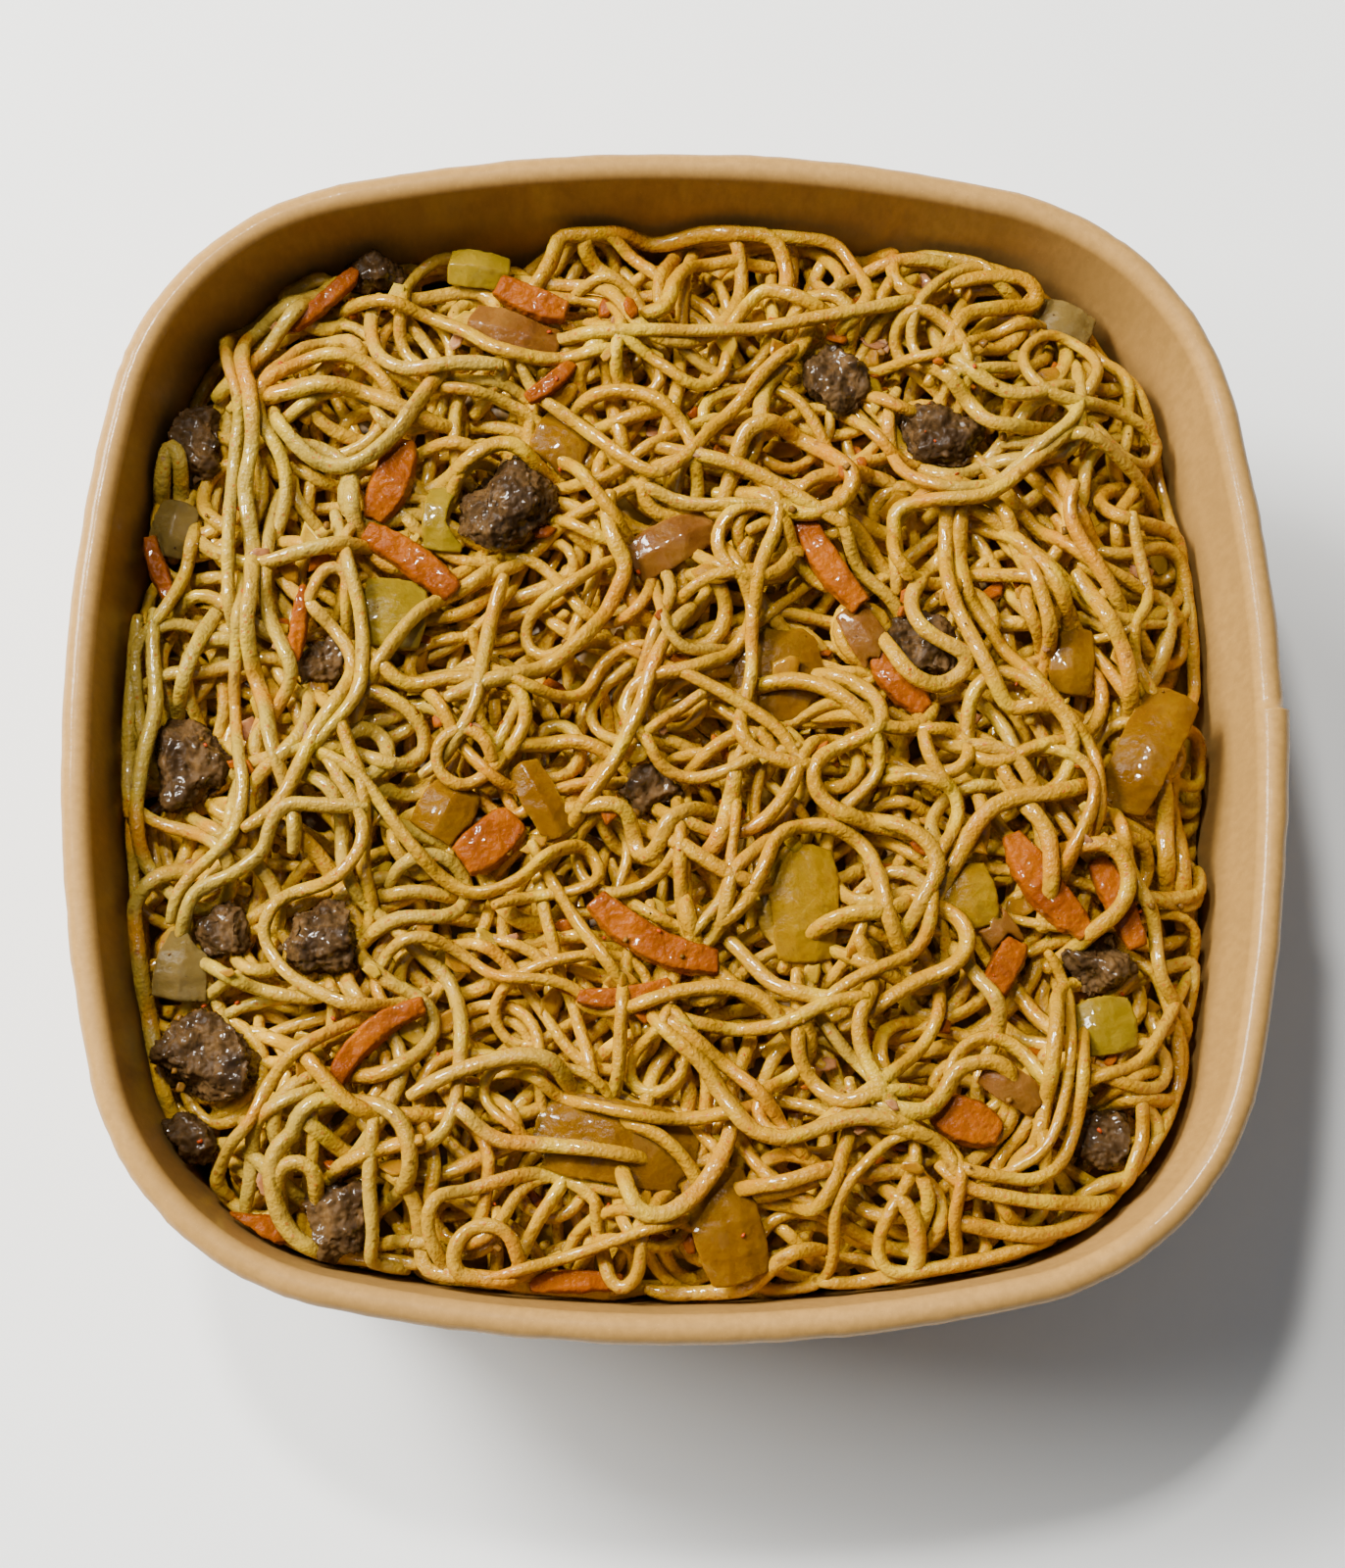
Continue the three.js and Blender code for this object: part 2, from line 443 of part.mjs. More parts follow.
// Visits the cells round a point, giving each one's index and the height of a ball's surface over its middle.
function overBall(x, y, radius, visit) {
  for (let j = cellOf(y - radius); j <= cellOf(y + radius); j++)
    for (let i = cellOf(x - radius); i <= cellOf(x + radius); i++) {
      const rise2 = radius ** 2 - (placeOf(i) - x) ** 2 - (placeOf(j) - y) ** 2;
      if (rise2 > 0 && i >= 0 && j >= 0 && i < GRID && j < GRID) visit(j * GRID + i, Math.sqrt(rise2));
    }
}

// Height at which the middle of a noodle rests over a place.
function restHeight(x, y) {
  let rest = 0;
  overBall(x, y, STRAND, (cell, rise) => {
    rest = Math.max(rest, relief[cell] + rise - FUSE);
  });
  return rest;
}

const stampBall = ({ x, y, z }) =>
  overBall(x, y, STRAND, (cell, rise) => {
    relief[cell] = Math.max(relief[cell], z + rise);
  });

// Raises the relief to the top of a geometry, plus a clearance.
function stampGeometry(geometry, clearance) {
  const flat = geometry.index ? geometry.toNonIndexed() : geometry;
  const position = flat.attributes.position;
  const triangle = new THREE.Triangle();
  const [probe, weights] = [new THREE.Vector3(), new THREE.Vector3()];
  for (let t = 0; t < position.count; t += 3) {
    triangle.setFromAttributeAndIndices(position, t, t + 1, t + 2);
    const heights = [triangle.a.z, triangle.b.z, triangle.c.z];
    const box = new THREE.Box3().setFromPoints([triangle.a, triangle.b, triangle.c]);
    for (const corner of [triangle.a, triangle.b, triangle.c]) corner.z = 0;
    if (triangle.getArea() < 1e-6) continue;
    for (let j = cellOf(box.min.y); j <= cellOf(box.max.y); j++)
      for (let i = cellOf(box.min.x); i <= cellOf(box.max.x); i++) {
        triangle.getBarycoord(probe.set(placeOf(i), placeOf(j), 0), weights);
        if (Math.min(weights.x, weights.y, weights.z) < 0) continue;
        const height = weights.x * heights[0] + weights.y * heights[1] + weights.z * heights[2];
        relief[j * GRID + i] = Math.max(relief[j * GRID + i], height + clearance);
      }
  }
}

// Moves a point in from the wall by as much as a noodle needs.
function clearOfWall(point) {
  const need = wallInset(point.z) + FIT + STRAND + 0.2;
  for (let pass = 0; pass < 3; pass++) {
    const short = need - insetOf(point.x, point.y);
    if (short <= 0) break;
    const shrink = 1 - (1.1 * short) / Math.hypot(point.x, point.y);
    point.x *= shrink;
    point.y *= shrink;
  }
}

// A noodle's middle line at 1 mm steps, resting on what lies below and running down into the core at both ends.
function layStrand(plan) {
  const route = new THREE.CatmullRomCurve3(plan.map(([x, y]) => new THREE.Vector3(x, y, 0)), false, "centripetal");
  const line = route.getSpacedPoints(Math.round(route.getLength()));
  for (const point of line) {
    point.z = HEAP_TOP - EDGE_DROP;
    clearOfWall(point);
  }
  const rest = line.map(({ x, y }) => restHeight(x, y));
  for (let round = 0; round < 3; round++) {
    line.forEach((point, i) => {
      point.z = rest[i];
    });
    for (let pass = 0; pass < 12; pass++)
      for (let i = 0; i < line.length; i++) {
        const before = line[Math.max(i - 1, 0)].z;
        const after = line[Math.min(i + 1, line.length - 1)].z;
        line[i].z = Math.max(rest[i], (before + after) / 2 - 0.02);
      }
    for (let i = 0; i < line.length; i++)
      for (let j = 0; j < i - 4 * STRAND; j++) {
        const gap2 = (line[i].x - line[j].x) ** 2 + (line[i].y - line[j].y) ** 2;
        if (gap2 < 4 * STRAND ** 2)
          rest[i] = Math.max(rest[i], line[j].z + Math.sqrt(4 * STRAND ** 2 - gap2) - FUSE);
      }
  }
  line.forEach(stampBall);
  return [...diveFrom(line[0], line[2]).reverse(), ...line, ...diveFrom(line.at(-1), line.at(-3))];
}

// The points that carry a noodle's end on past its last point and down into the core.
function diveFrom(end, inner) {
  const heading = new THREE.Vector3(end.x - inner.x, end.y - inner.y, 0).normalize();
  return Array.from({ length: Math.round(DIVE) }, (_, i) => {
    const share = (i + 1) / Math.round(DIVE);
    const point = end.clone().addScaledVector(heading, DIVE * share);
    point.z = HEAP_TOP - EDGE_DROP - CORE_UNDER - 2 * STRAND;
    clearOfWall(point);
    const bottom = heapSurface(point.x, point.y) - CORE_UNDER - 1.7 * STRAND;
    point.z = THREE.MathUtils.lerp(end.z, Math.min(end.z, bottom), share ** 1.6);
    return point;
  });
}

// Keeps the points of a line that its shape needs: about one per facet length, and more where it turns.
function stationsOf(line) {
  const kept = [line[0]];
  let due = 0;
  for (let i = 1; i < line.length - 1; i++) {
    const [into, out] = [line[i].clone().sub(line[i - 1]), line[i + 1].clone().sub(line[i])];
    due += into.length() / STRAND_STEP + into.angleTo(out) / rad(STRAND_TURN);
    if (due < 1) continue;
    due = 0;
    kept.push(line[i]);
  }
  kept.push(line.at(-1));
  return kept;
}

function strandGeometry(line) {
  const stations = stationsOf(line);
  const points = [];
  stations.forEach((point, i) => {
    const before = stations[Math.max(i - 1, 0)];
    const after = stations[Math.min(i + 1, stations.length - 1)];
    const along = after.clone().sub(before).normalize();
    const side = new THREE.Vector3(-along.y, along.x, 0).normalize();
    const up = along.clone().cross(side);
    for (let k = 0; k < STRAND_SIDES; k++) {
      const angle = (2 * Math.PI * (k + 0.5)) / STRAND_SIDES;
      const at = point.clone();
      at.addScaledVector(side, STRAND * Math.cos(angle)).addScaledVector(up, STRAND * Math.sin(angle));
      points.push(at.toArray());
    }
  });
  const triangles = skin(stations.length, STRAND_SIDES, false);
  const end = (stations.length - 1) * STRAND_SIDES;
  for (let k = 1; k < STRAND_SIDES - 1; k++) triangles.push([0, k + 1, k], [end, end + k, end + k + 1]);
  return geometryFrom(points, triangles);
}

// ---------------------------------------------------------------- putting the food together
function pieceGeometry(piece, index, grow) {
  const geometry = SHAPES[piece.kind]({ seed: index + 3, ...piece, grow });
  const { at: [x, y], turn = 0, lean = 0, pitch = 0, rise } = piece;
  geometry.rotateX(rad(lean)).rotateY(rad(-pitch)).rotateZ(rad(turn));
  geometry.translate(x, y, heapSurface(x, y) + rise);
  return geometry;
}

const largestOf = (solid) => solid.decompose().reduce((a, b) => (b.volume() > a.volume() ? b : a));

const wallSolid = solidFrom(wallGeometry());
const baseSolid = solidFrom(baseGeometry());
const pieces = PIECES.map((piece, index) => ({
  piece,
  solid: solidFrom(pieceGeometry(piece, index, 0)),
  grown: solidFrom(pieceGeometry(piece, index, FIT)),
}));
// A piece that leans on one listed before it is cut back to rest against it.
pieces.forEach((lower, i) => {
  for (const upper of pieces.slice(0, i))
    if (lower.solid.intersect(upper.grown).volume() > 0)
      lower.solid = largestOf(lower.solid.subtract(upper.grown));
});

// Every piece rests on the core, which cuts off what would lie inside it, and keeps clear of the wall.
const fitted = solidFrom(coreGeometry(FIT + 0.05));
const inside = solidFrom(ringStack([BASE_LIFT, HEIGHT].map((z) => outlineRing(wallInset(z) + FIT + 0.2, z)),
  [0, 0, BASE_LIFT], [0, 0, HEIGHT]));
for (const entry of pieces) {
  entry.solid = largestOf(entry.solid.subtract(fitted));
  const within = entry.solid.intersect(inside);
  if (within.volume() < entry.solid.volume() - 1e-3) entry.solid = largestOf(within);
}

const core = coreGeometry();
stampGeometry(core, 0);
pieces.forEach(({ grown }) => stampGeometry(geometryOf(grown), FUSE + 0.1));

let heap = solidFrom(core);
for (const plan of STRANDS) {
  let strand = solidFrom(strandGeometry(layStrand(plan)));
  for (const { grown } of pieces) if (strand.intersect(grown).volume() > 0) strand = strand.subtract(grown);
  heap = heap.add(strand);
}
heap = largestOf(heap).asOriginal().simplify(FACET_SLACK);

// ---------------------------------------------------------------- materials and the finished group
const board = new THREE.MeshStandardMaterial({ color: 0xb98d5c, roughness: 0.7, metalness: 0 });
const noodle = new THREE.MeshStandardMaterial({ color: 0xd6a55a, roughness: 0.4, metalness: 0 });
const FOOD = {
  beef: new THREE.MeshStandardMaterial({ color: 0x5a3522, roughness: 0.45, metalness: 0 }),
  carrot: new THREE.MeshStandardMaterial({ color: 0xd9701c, roughness: 0.4, metalness: 0 }),
  onion: new THREE.MeshStandardMaterial({ color: 0xc9973c, roughness: 0.3, metalness: 0 }),
};

const group = new THREE.Group();
group.name = "noodle_takeaway_box";
function addNode(name, solid, material) {
  const mesh = new THREE.Mesh(geometryOf(solid), material);
  mesh.name = name;
  group.add(mesh);
}
addNode("bowl_wall", wallSolid, board);
addNode("bowl_base", baseSolid, board);
addNode("noodle_heap", heap, noodle);
const counts = {};
for (const { piece, solid } of pieces) {
  counts[piece.kind] = (counts[piece.kind] ?? 0) + 1;
  addNode(`${piece.kind}_${String(counts[piece.kind]).padStart(2, "0")}`, solid, FOOD[piece.kind]);
}

export default group;
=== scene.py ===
"""A kraft-board takeaway bowl of stir-fried noodles with beef, carrot and onion, built over its solid frame.

Sizes are in mm and become metres where a mesh is made. +X points to the wall's glued side seam, +Y to the
bowl's far side and +Z up. An inset is a distance in from the rim's outer edge.
"""

import math

import bmesh
import bpy
import numpy as np
from bpy.props import FloatProperty, FloatVectorProperty, IntProperty, PointerProperty
from mathutils import Matrix, Vector, noise


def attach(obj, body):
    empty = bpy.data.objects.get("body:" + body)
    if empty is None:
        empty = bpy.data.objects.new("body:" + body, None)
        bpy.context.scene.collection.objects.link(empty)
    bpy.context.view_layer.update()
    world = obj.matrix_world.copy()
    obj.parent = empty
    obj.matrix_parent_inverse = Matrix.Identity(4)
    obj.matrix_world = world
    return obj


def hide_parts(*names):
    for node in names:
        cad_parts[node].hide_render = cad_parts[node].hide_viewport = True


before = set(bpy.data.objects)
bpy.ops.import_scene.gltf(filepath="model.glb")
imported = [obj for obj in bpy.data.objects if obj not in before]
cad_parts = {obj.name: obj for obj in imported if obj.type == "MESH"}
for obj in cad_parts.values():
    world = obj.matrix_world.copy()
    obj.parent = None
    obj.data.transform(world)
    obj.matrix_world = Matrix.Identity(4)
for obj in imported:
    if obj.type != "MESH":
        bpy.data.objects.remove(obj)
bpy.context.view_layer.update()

bl_info = {
    "name": "Noodle takeaway box",
    "version": (1, 0, 0),
    "blender": (4, 5, 0),
    "location": "3D View > Sidebar > Noodle Box",
    "description": "Builds a kraft bowl of stir-fried noodles piece by piece",
    "category": "Object",
}

MM = 0.001
FULL_TURN = 2 * math.pi


# ---------------------------------------------------------------- settings
def mm(name, description, default, low=0.0):
    """A size in mm that a user can change."""
    return FloatProperty(name=name, description=description, default=default, min=low)


def whole(name, description, default):
    """A whole number that a user can change."""
    return IntProperty(name=name, description=description, default=default, min=0)


def tint(name, description, default):
    """A colour that a user can change."""
    look = {"subtype": "COLOR", "size": 3, "min": 0, "max": 1}
    return FloatVectorProperty(name=name, description=description, default=default, **look)


class NBX_BowlSettings(bpy.types.PropertyGroup):
    rim_half: mm("Rim half width", "Half the width across the rolled rim, in mm", 86.0)
    side_arc: mm("Side arc", "Radius of each bowed side at the rim's outer edge, in mm", 228.0)
    corner_arc: mm("Corner arc", "Radius of each corner at the rim's outer edge, in mm", 42.0)
    height: mm("Height", "Height of the bowl to the top of its rim, in mm", 62.0)
    taper: FloatProperty(
        name="Taper",
        description="How far the wall leans in, in degrees",
        default=8.5,
        min=0,
    )
    board: mm("Board", "Thickness of the wall's board, in mm", 0.7)
    roll: mm("Roll radius", "Radius of the rolled rim, in mm", 2.1)
    lap_from: mm("Lap start", "Near edge of the side lap, in mm along the seam side", -9.5, -40)
    lap_to: mm("Lap end", "Far edge of the side lap, in mm along the seam side", 2.5, -40)
    kraft: tint("Kraft", "Colour of the bare board", (0.345, 0.19, 0.05))


class NBX_NoodleSettings(bpy.types.PropertyGroup):
    radius: mm("Noodle radius", "Half the thickness of a noodle, in mm", 1.13)
    top: mm("Heap top", "Height of the heap's middle above the table, in mm", 53.4)
    edge_drop: mm("Edge drop", "How much lower the heap is along the wall, in mm", 8.5)
    right_drop: mm("Right drop", "How much lower still it is beside the +X wall, in mm", 7.0)
    depth: mm("Noodle depth", "Depth of the loose noodles over the core, in mm", 10.0)
    deep_count: whole("Deep noodles", "Number of noodles under the ones on top", 200)
    seed: whole("Seed", "Seed of the random noodles", 7)
    pale: tint("Pale noodle", "Colour of a plain noodle", (0.33, 0.222, 0.026))
    golden: tint("Stained noodle", "Colour of a noodle stained by the sauce", (0.35, 0.170, 0.001))


class NBX_PieceSettings(bpy.types.PropertyGroup):
    beef_dark: tint("Beef crust", "Colour of the beef's browned edges", (0.028, 0.014, 0.005))
    beef_mid: tint("Beef", "Colour of the beef between its edges", (0.078, 0.040, 0.012))
    carrot: tint("Carrot", "Colour of the carrot", (0.21, 0.042, 0.0001))


class NBX_StageSettings(bpy.types.PropertyGroup):
    floor: tint("Floor", "Colour of the floor", (0.855, 0.875, 0.88))
    key_power: FloatProperty(
        name="Key light",
        description="Power that all the lights take a share of",
        default=8.6,
        min=0,
        unit="POWER",
    )


def settings():
    """The settings of the bowl, the noodles, the pieces and the stage."""
    scene = bpy.context.scene
    return scene.nbx_bowl, scene.nbx_noodles, scene.nbx_pieces, scene.nbx_stage


# ---------------------------------------------------------------- mesh helpers
def place(name, mesh, material):
    """Puts a mesh into the scene as a smooth object of one material."""
    mesh.shade_smooth()
    mesh.materials.append(material)
    obj = bpy.data.objects.new(name, mesh)
    bpy.context.scene.collection.objects.link(obj)
    return obj


def new_object(name, verts, faces, material):
    """A mesh object from points in mm and faces of any number of sides."""
    mesh = bpy.data.meshes.new(name)
    verts = np.asarray(verts, dtype=np.float64) * MM
    mesh.from_pydata(verts.tolist(), [], [list(map(int, f)) for f in faces])
    mesh.update()
    return place(name, mesh, material)


def fast_object(name, verts, quads, material):
    """A mesh object from many points in mm and four-sided faces."""
    mesh = bpy.data.meshes.new(name)
    verts = np.ascontiguousarray(verts, dtype=np.float32) * np.float32(MM)
    quads = np.ascontiguousarray(quads, dtype=np.int32)
    mesh.vertices.add(len(verts))
    mesh.vertices.foreach_set("co", verts.ravel())
    mesh.loops.add(quads.size)
    mesh.loops.foreach_set("vertex_index", quads.ravel())
    mesh.polygons.add(len(quads))
    mesh.polygons.foreach_set("loop_start", np.arange(0, quads.size, 4, dtype=np.int32))
    mesh.update(calc_edges=True)
    mesh.validate()
    return place(name, mesh, material)


def point_data(obj, name, values):
    """Stores one number per vertex under a name that a material can read."""
    layer = obj.data.attributes.new(name, "FLOAT", "POINT")
    layer.data.foreach_set("value", np.ascontiguousarray(values, dtype=np.float32))


def band(first, second, count):
    """Four-sided faces between two closed loops of points, each given by the number of its first point."""
    pairs = [(i, (i + 1) % count) for i in range(count)]
    return [(first + i, first + j, second + j, second + i) for i, j in pairs]


def fan(loop, tip, count):
    """Triangles between a closed loop of points and one point."""
    return [(loop + i, loop + (i + 1) % count, tip) for i in range(count)]


def ripple(x, y, scale, seed):
    """A smooth random number between about -1 and 1 at a place in plan."""
    return noise.noise(Vector((x * scale, y * scale, seed)))


def own(obj, slot, *nodes):
    """Fixes a piece to the only body and hides the solids it stands for; slot is not used."""
    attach(obj, "root")
    if nodes:
        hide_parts(*nodes)


# ---------------------------------------------------------------- material helpers
def shade(colour, share):
    """A darker or paler colour of the same hue."""
    return tuple(min(1, c * share) for c in colour)


class Paint:
    """Builds a node material step by step."""

    def __init__(self, name):
        self.material = bpy.data.materials.new(name)
        self.material.use_nodes = True
        self.nodes = self.material.node_tree.nodes
        self.links = self.material.node_tree.links
        self.shader = self.nodes["Principled BSDF"]
        self.coords = self.nodes.new("ShaderNodeTexCoord").outputs["Object"]

    def set(self, **values):
        """Sets plain values on the shader's own sockets."""
        for key, value in values.items():
            socket_name = key.replace("_", " ").title().replace("Ior", "IOR")
            self.shader.inputs[socket_name].default_value = value
        return self

    def link(self, output, socket_name):
        """Feeds one of the shader's own sockets."""
        self.links.new(output, self.shader.inputs[socket_name])
        return self

    def relief(self, normal, scale=420, depth=0.14):
        """Rough relief under the wet film, and a gentle one on it."""
        gentle = self.bump(self.noise(scale, 1, 0.5), 1.0, depth)
        return self.link(normal, "Normal").link(gentle, "Coat Normal")

    def wet(self, scale, low, high, weight, seed=0.0):
        """Puts a clear wet film on the spots where a noise is high."""
        spots = self.noise(scale, 1, 0.5, seed=seed)
        return self.link(self.ramp(spots, low, high, 0.0, weight), "Coat Weight")

    def noise(self, scale, detail, rough, stretch=None, seed=0.0):
        """Smooth noise: its scale per metre, its number of finer layers and their share."""
        node = self.nodes.new("ShaderNodeTexNoise")
        node.noise_dimensions = "4D" if seed else "3D"
        node.inputs["Scale"].default_value = scale
        node.inputs["Detail"].default_value = detail
        node.inputs["Roughness"].default_value = rough
        if seed:
            node.inputs["W"].default_value = seed
        self.links.new(self.mapped(stretch), node.inputs["Vector"])
        return node.outputs["Fac"]

    def mapped(self, stretch):
        """The object's coordinates, scaled along each axis."""
        if not stretch:
            return self.coords
        node = self.nodes.new("ShaderNodeMapping")
        node.inputs["Scale"].default_value = stretch
        self.links.new(self.coords, node.inputs["Vector"])
        return node.outputs["Vector"]

    def specks(self, scale, edge, core, rare, common):
        """Round specks: their edge and core in shares of a cell, in the cells above a random limit."""
        node = self.nodes.new("ShaderNodeTexVoronoi")
        node.inputs["Scale"].default_value = scale
        self.links.new(self.coords, node.inputs["Vector"])
        chosen = self.ramp(node.outputs["Color"], rare, common)
        return self.math("MULTIPLY", self.ramp(node.outputs["Distance"], edge, core), chosen)

    def ramp(self, value, low, high, bottom=0.0, top=1.0):
        """Turns a value's range from low to high into one from bottom to top, smoothly."""
        node = self.nodes.new("ShaderNodeMapRange")
        node.interpolation_type = "SMOOTHSTEP"
        node.inputs["From Min"].default_value = low
        node.inputs["From Max"].default_value = high
        node.inputs["To Min"].default_value = bottom
        node.inputs["To Max"].default_value = top
        self.links.new(value, node.inputs["Value"])
        return node.outputs["Result"]

    def data(self, name):
        """A number stored on the mesh's points."""
        node = self.nodes.new("ShaderNodeAttribute")
        node.attribute_name = name
        return node.outputs["Fac"]

    def math(self, operation, a, b):
        """The result of an operation on two values."""
        node = self.nodes.new("ShaderNodeMath")
        node.operation = operation
        self.feed(node.inputs, (a, b))
        return node.outputs["Value"]

    def mix(self, factor, a, b):
        """The colour a, and b where the factor is high."""
        node = self.nodes.new("ShaderNodeMix")
        node.data_type = "RGBA"
        self.links.new(factor, node.inputs["Factor"])
        self.feed([s for s in node.inputs if s.type == "RGBA"], (a, b))
        return next(s for s in node.outputs if s.type == "RGBA")

    def feed(self, sockets, values):
        """Gives each socket a plain number, a plain colour or a link."""
        for socket, value in zip(sockets, values):
            if isinstance(value, tuple):
                socket.default_value = (*value, 1)
            elif isinstance(value, (int, float)):
                socket.default_value = value
            else:
                self.links.new(value, socket)

    def bump(self, height, strength, distance, under=None):
        """Relief of a depth in mm, over another relief if there is one."""
        node = self.nodes.new("ShaderNodeBump")
        node.inputs["Strength"].default_value = strength
        node.inputs["Distance"].default_value = distance * MM
        self.links.new(height, node.inputs["Height"])
        if under is not None:
            self.links.new(under, node.inputs["Normal"])
        return node.outputs["Normal"]


def kraft_material(colour):
    """Bare board: fibres that run up the wall, mottling, pale and dark flecks, and a faint satin coat."""
    p = Paint("kraft_board")
    fibres = p.noise(900, 3, 0.6, stretch=(1, 1, 0.3))
    flecks = p.noise(2600, 3, 0.6)
    mottle = p.noise(70, 4, 0.6)
    broad = p.noise(16, 2, 0.5)
    base = p.mix(p.ramp(fibres, 0.32, 0.68), shade(colour, 0.90), shade(colour, 1.08))
    base = p.mix(p.ramp(mottle, 0.3, 0.75, 0.0, 0.5), base, shade(colour, 0.9))
    base = p.mix(p.ramp(flecks, 0.62, 0.74, 0.0, 0.5), base, shade(colour, 1.5))
    base = p.mix(p.ramp(flecks, 0.34, 0.24, 0.0, 0.45), base, shade(colour, 0.45))
    p.link(base, "Base Color")
    p.link(p.ramp(broad, 0.3, 0.7, 0.48, 0.62), "Roughness")
    p.link(p.bump(mottle, 0.12, 0.5, p.bump(fibres, 0.10, 0.12)), "Normal")
    coat_grain = p.bump(p.noise(1500, 2, 0.5), 0.5, 0.04)
    p.link(p.bump(p.noise(260, 3, 0.6), 0.6, 0.10, coat_grain), "Coat Normal")
    return p.set(ior=1.45, specular_ior_level=0.15, coat_weight=0.3, coat_roughness=0.16).material


def noodle_material(pale, golden):
    """Cooked noodle: pale to stained along each strand, with oil, flecks, chilli dust, a wet film, paler
    spots painted as highlights, and a painted glow on the noodles low in the heap.
    """
    # painted highlight: a paler colour laid in spots over the noodles
    painted_highlight = (0.50, 0.332, 0.009)
    toasted = (0.30, 0.14, 0.003)
    oil = (0.38, 0.145, 0.0005)
    # painted light: a brighter orange for noodles low in the heap, standing in for light glowing between the
    # strands
    painted_glow = (0.60, 0.325, 0.009)
    brown_fleck = (0.12, 0.045, 0.010)
    chilli_dust = (0.34, 0.085, 0.004)
    p = Paint("oiled_noodle")
    sauce = p.noise(34, 2, 0.55)
    highlight_spots = p.noise(130, 2, 0.6)
    fine = p.noise(520, 2, 0.6)
    stain = p.math("ADD", p.math("MULTIPLY", p.data("tint"), 0.55), p.math("MULTIPLY", sauce, 0.75))
    base = p.mix(p.ramp(stain, 0.42, 0.88), pale, golden)
    # painted highlight: paler spots where a noise is high
    base = p.mix(p.ramp(highlight_spots, 0.50, 0.74, 0.0, 0.7), base, painted_highlight)
    base = p.mix(p.ramp(fine, 0.56, 0.76, 0.0, 0.35), base, toasted)
    base = p.mix(p.ramp(p.noise(61, 2, 0.6), 0.54, 0.70, 0.0, 0.8), base, oil)
    # painted glow: the lower a point lies, the more of the brighter orange it gets
    base = p.mix(p.ramp(p.data("low"), 0.04, 0.72, 0.0, 0.9), base, painted_glow)
    base = p.mix(p.math("MULTIPLY", p.specks(330, 0.20, 0.10, 0.58, 0.60), 0.6), base, brown_fleck)
    base = p.mix(p.math("MULTIPLY", p.specks(800, 0.26, 0.16, 0.52, 0.54), 0.7), base, chilli_dust)
    p.link(base, "Base Color")
    p.link(p.ramp(fine, 0.3, 0.7, 0.24, 0.40), "Roughness")
    uneven = p.bump(p.noise(900, 2, 0.6), 1.0, 0.42)
    p.relief(p.bump(p.noise(2400, 0, 0.5), 0.6, 0.10, uneven), 520, 0.16)
    p.wet(560, 0.46, 0.50, 1.0)
    p.set(subsurface_weight=0.3, subsurface_radius=(0.0018, 0.0017, 0.0009), subsurface_scale=1.0)
    return p.set(ior=1.42, coat_roughness=0.05, specular_ior_level=0.28).material


def shaded_core_material(colour):
    """Noodles deep down between the loose ones, in painted shade: darker than the noodles' own colour."""
    p = Paint("deep_noodles_shaded")
    broad = p.noise(240, 3, 0.6)
    # painted shade: both colours are darker than the stained noodle colour
    p.link(p.mix(p.ramp(broad, 0.35, 0.7), shade(colour, 0.55), shade(colour, 0.9)), "Base Color")
    p.link(p.bump(broad, 0.5, 1.0), "Normal")
    p.link(p.ramp(broad, 0.3, 0.7, 0.35, 0.6), "Roughness")
    return p.material


def beef_material(dark, mid):
    """Fried beef: a dark crust, browner fibres between with lighter golden-brown streaks that are partly
    fibre colour and partly painted highlight, and wet glints.
    """
    p = Paint("browned_beef")
    grain = p.noise(420, 5, 0.65, stretch=(1.0, 0.45, 1.0))
    lumps = p.noise(170, 4, 0.6)
    base = p.mix(p.ramp(lumps, 0.36, 0.66), dark, mid)
    # partly painted highlight: lighter golden-brown along the fibres, partly the fibres' own colour
    base = p.mix(p.ramp(grain, 0.50, 0.72, 0.0, 0.6), base, shade(mid, 1.9))
    base = p.mix(p.ramp(grain, 0.42, 0.30, 0.0, 0.8), base, shade(dark, 0.5))
    p.link(base, "Base Color")
    p.link(p.ramp(lumps, 0.3, 0.7, 0.35, 0.6), "Roughness")
    p.relief(p.bump(p.noise(1400, 3, 0.6), 0.5, 0.12, p.bump(grain, 0.55, 0.45)))
    p.wet(420, 0.50, 0.58, 0.9, 8.0)
    p.set(subsurface_weight=0.08, subsurface_radius=(0.0015, 0.0006, 0.0003), subsurface_scale=1.0)
    return p.set(ior=1.45, coat_roughness=0.1, specular_ior_level=0.12).material


def carrot_material(colour, name="fried_carrot"):
    """Cooked carrot: paler and deeper orange, a fine grain and a thin glaze."""
    pale_orange = (0.28, 0.072, 0.0002)
    red_grain = (0.26, 0.040, 0.001)
    p = Paint(name)
    grain = p.noise(520, 3, 0.6)
    broad = p.noise(110, 3, 0.55)
    base = p.mix(p.ramp(broad, 0.3, 0.72), shade(colour, 0.7), pale_orange)
    base = p.mix(p.ramp(grain, 0.58, 0.75, 0.0, 0.4), base, red_grain)
    p.link(base, "Base Color")
    p.link(p.ramp(grain, 0.3, 0.7, 0.24, 0.42), "Roughness")
    p.relief(p.bump(p.noise(1100, 2, 0.5), 0.8, 0.25, p.bump(grain, 0.8, 0.4)))
    p.wet(330, 0.52, 0.58, 0.55, 6.0)
    p.set(subsurface_weight=0.25, subsurface_radius=(0.0024, 0.0009, 0.0003), subsurface_scale=1.0)
    return p.set(ior=1.45, coat_roughness=0.08, specular_ior_level=0.08).material


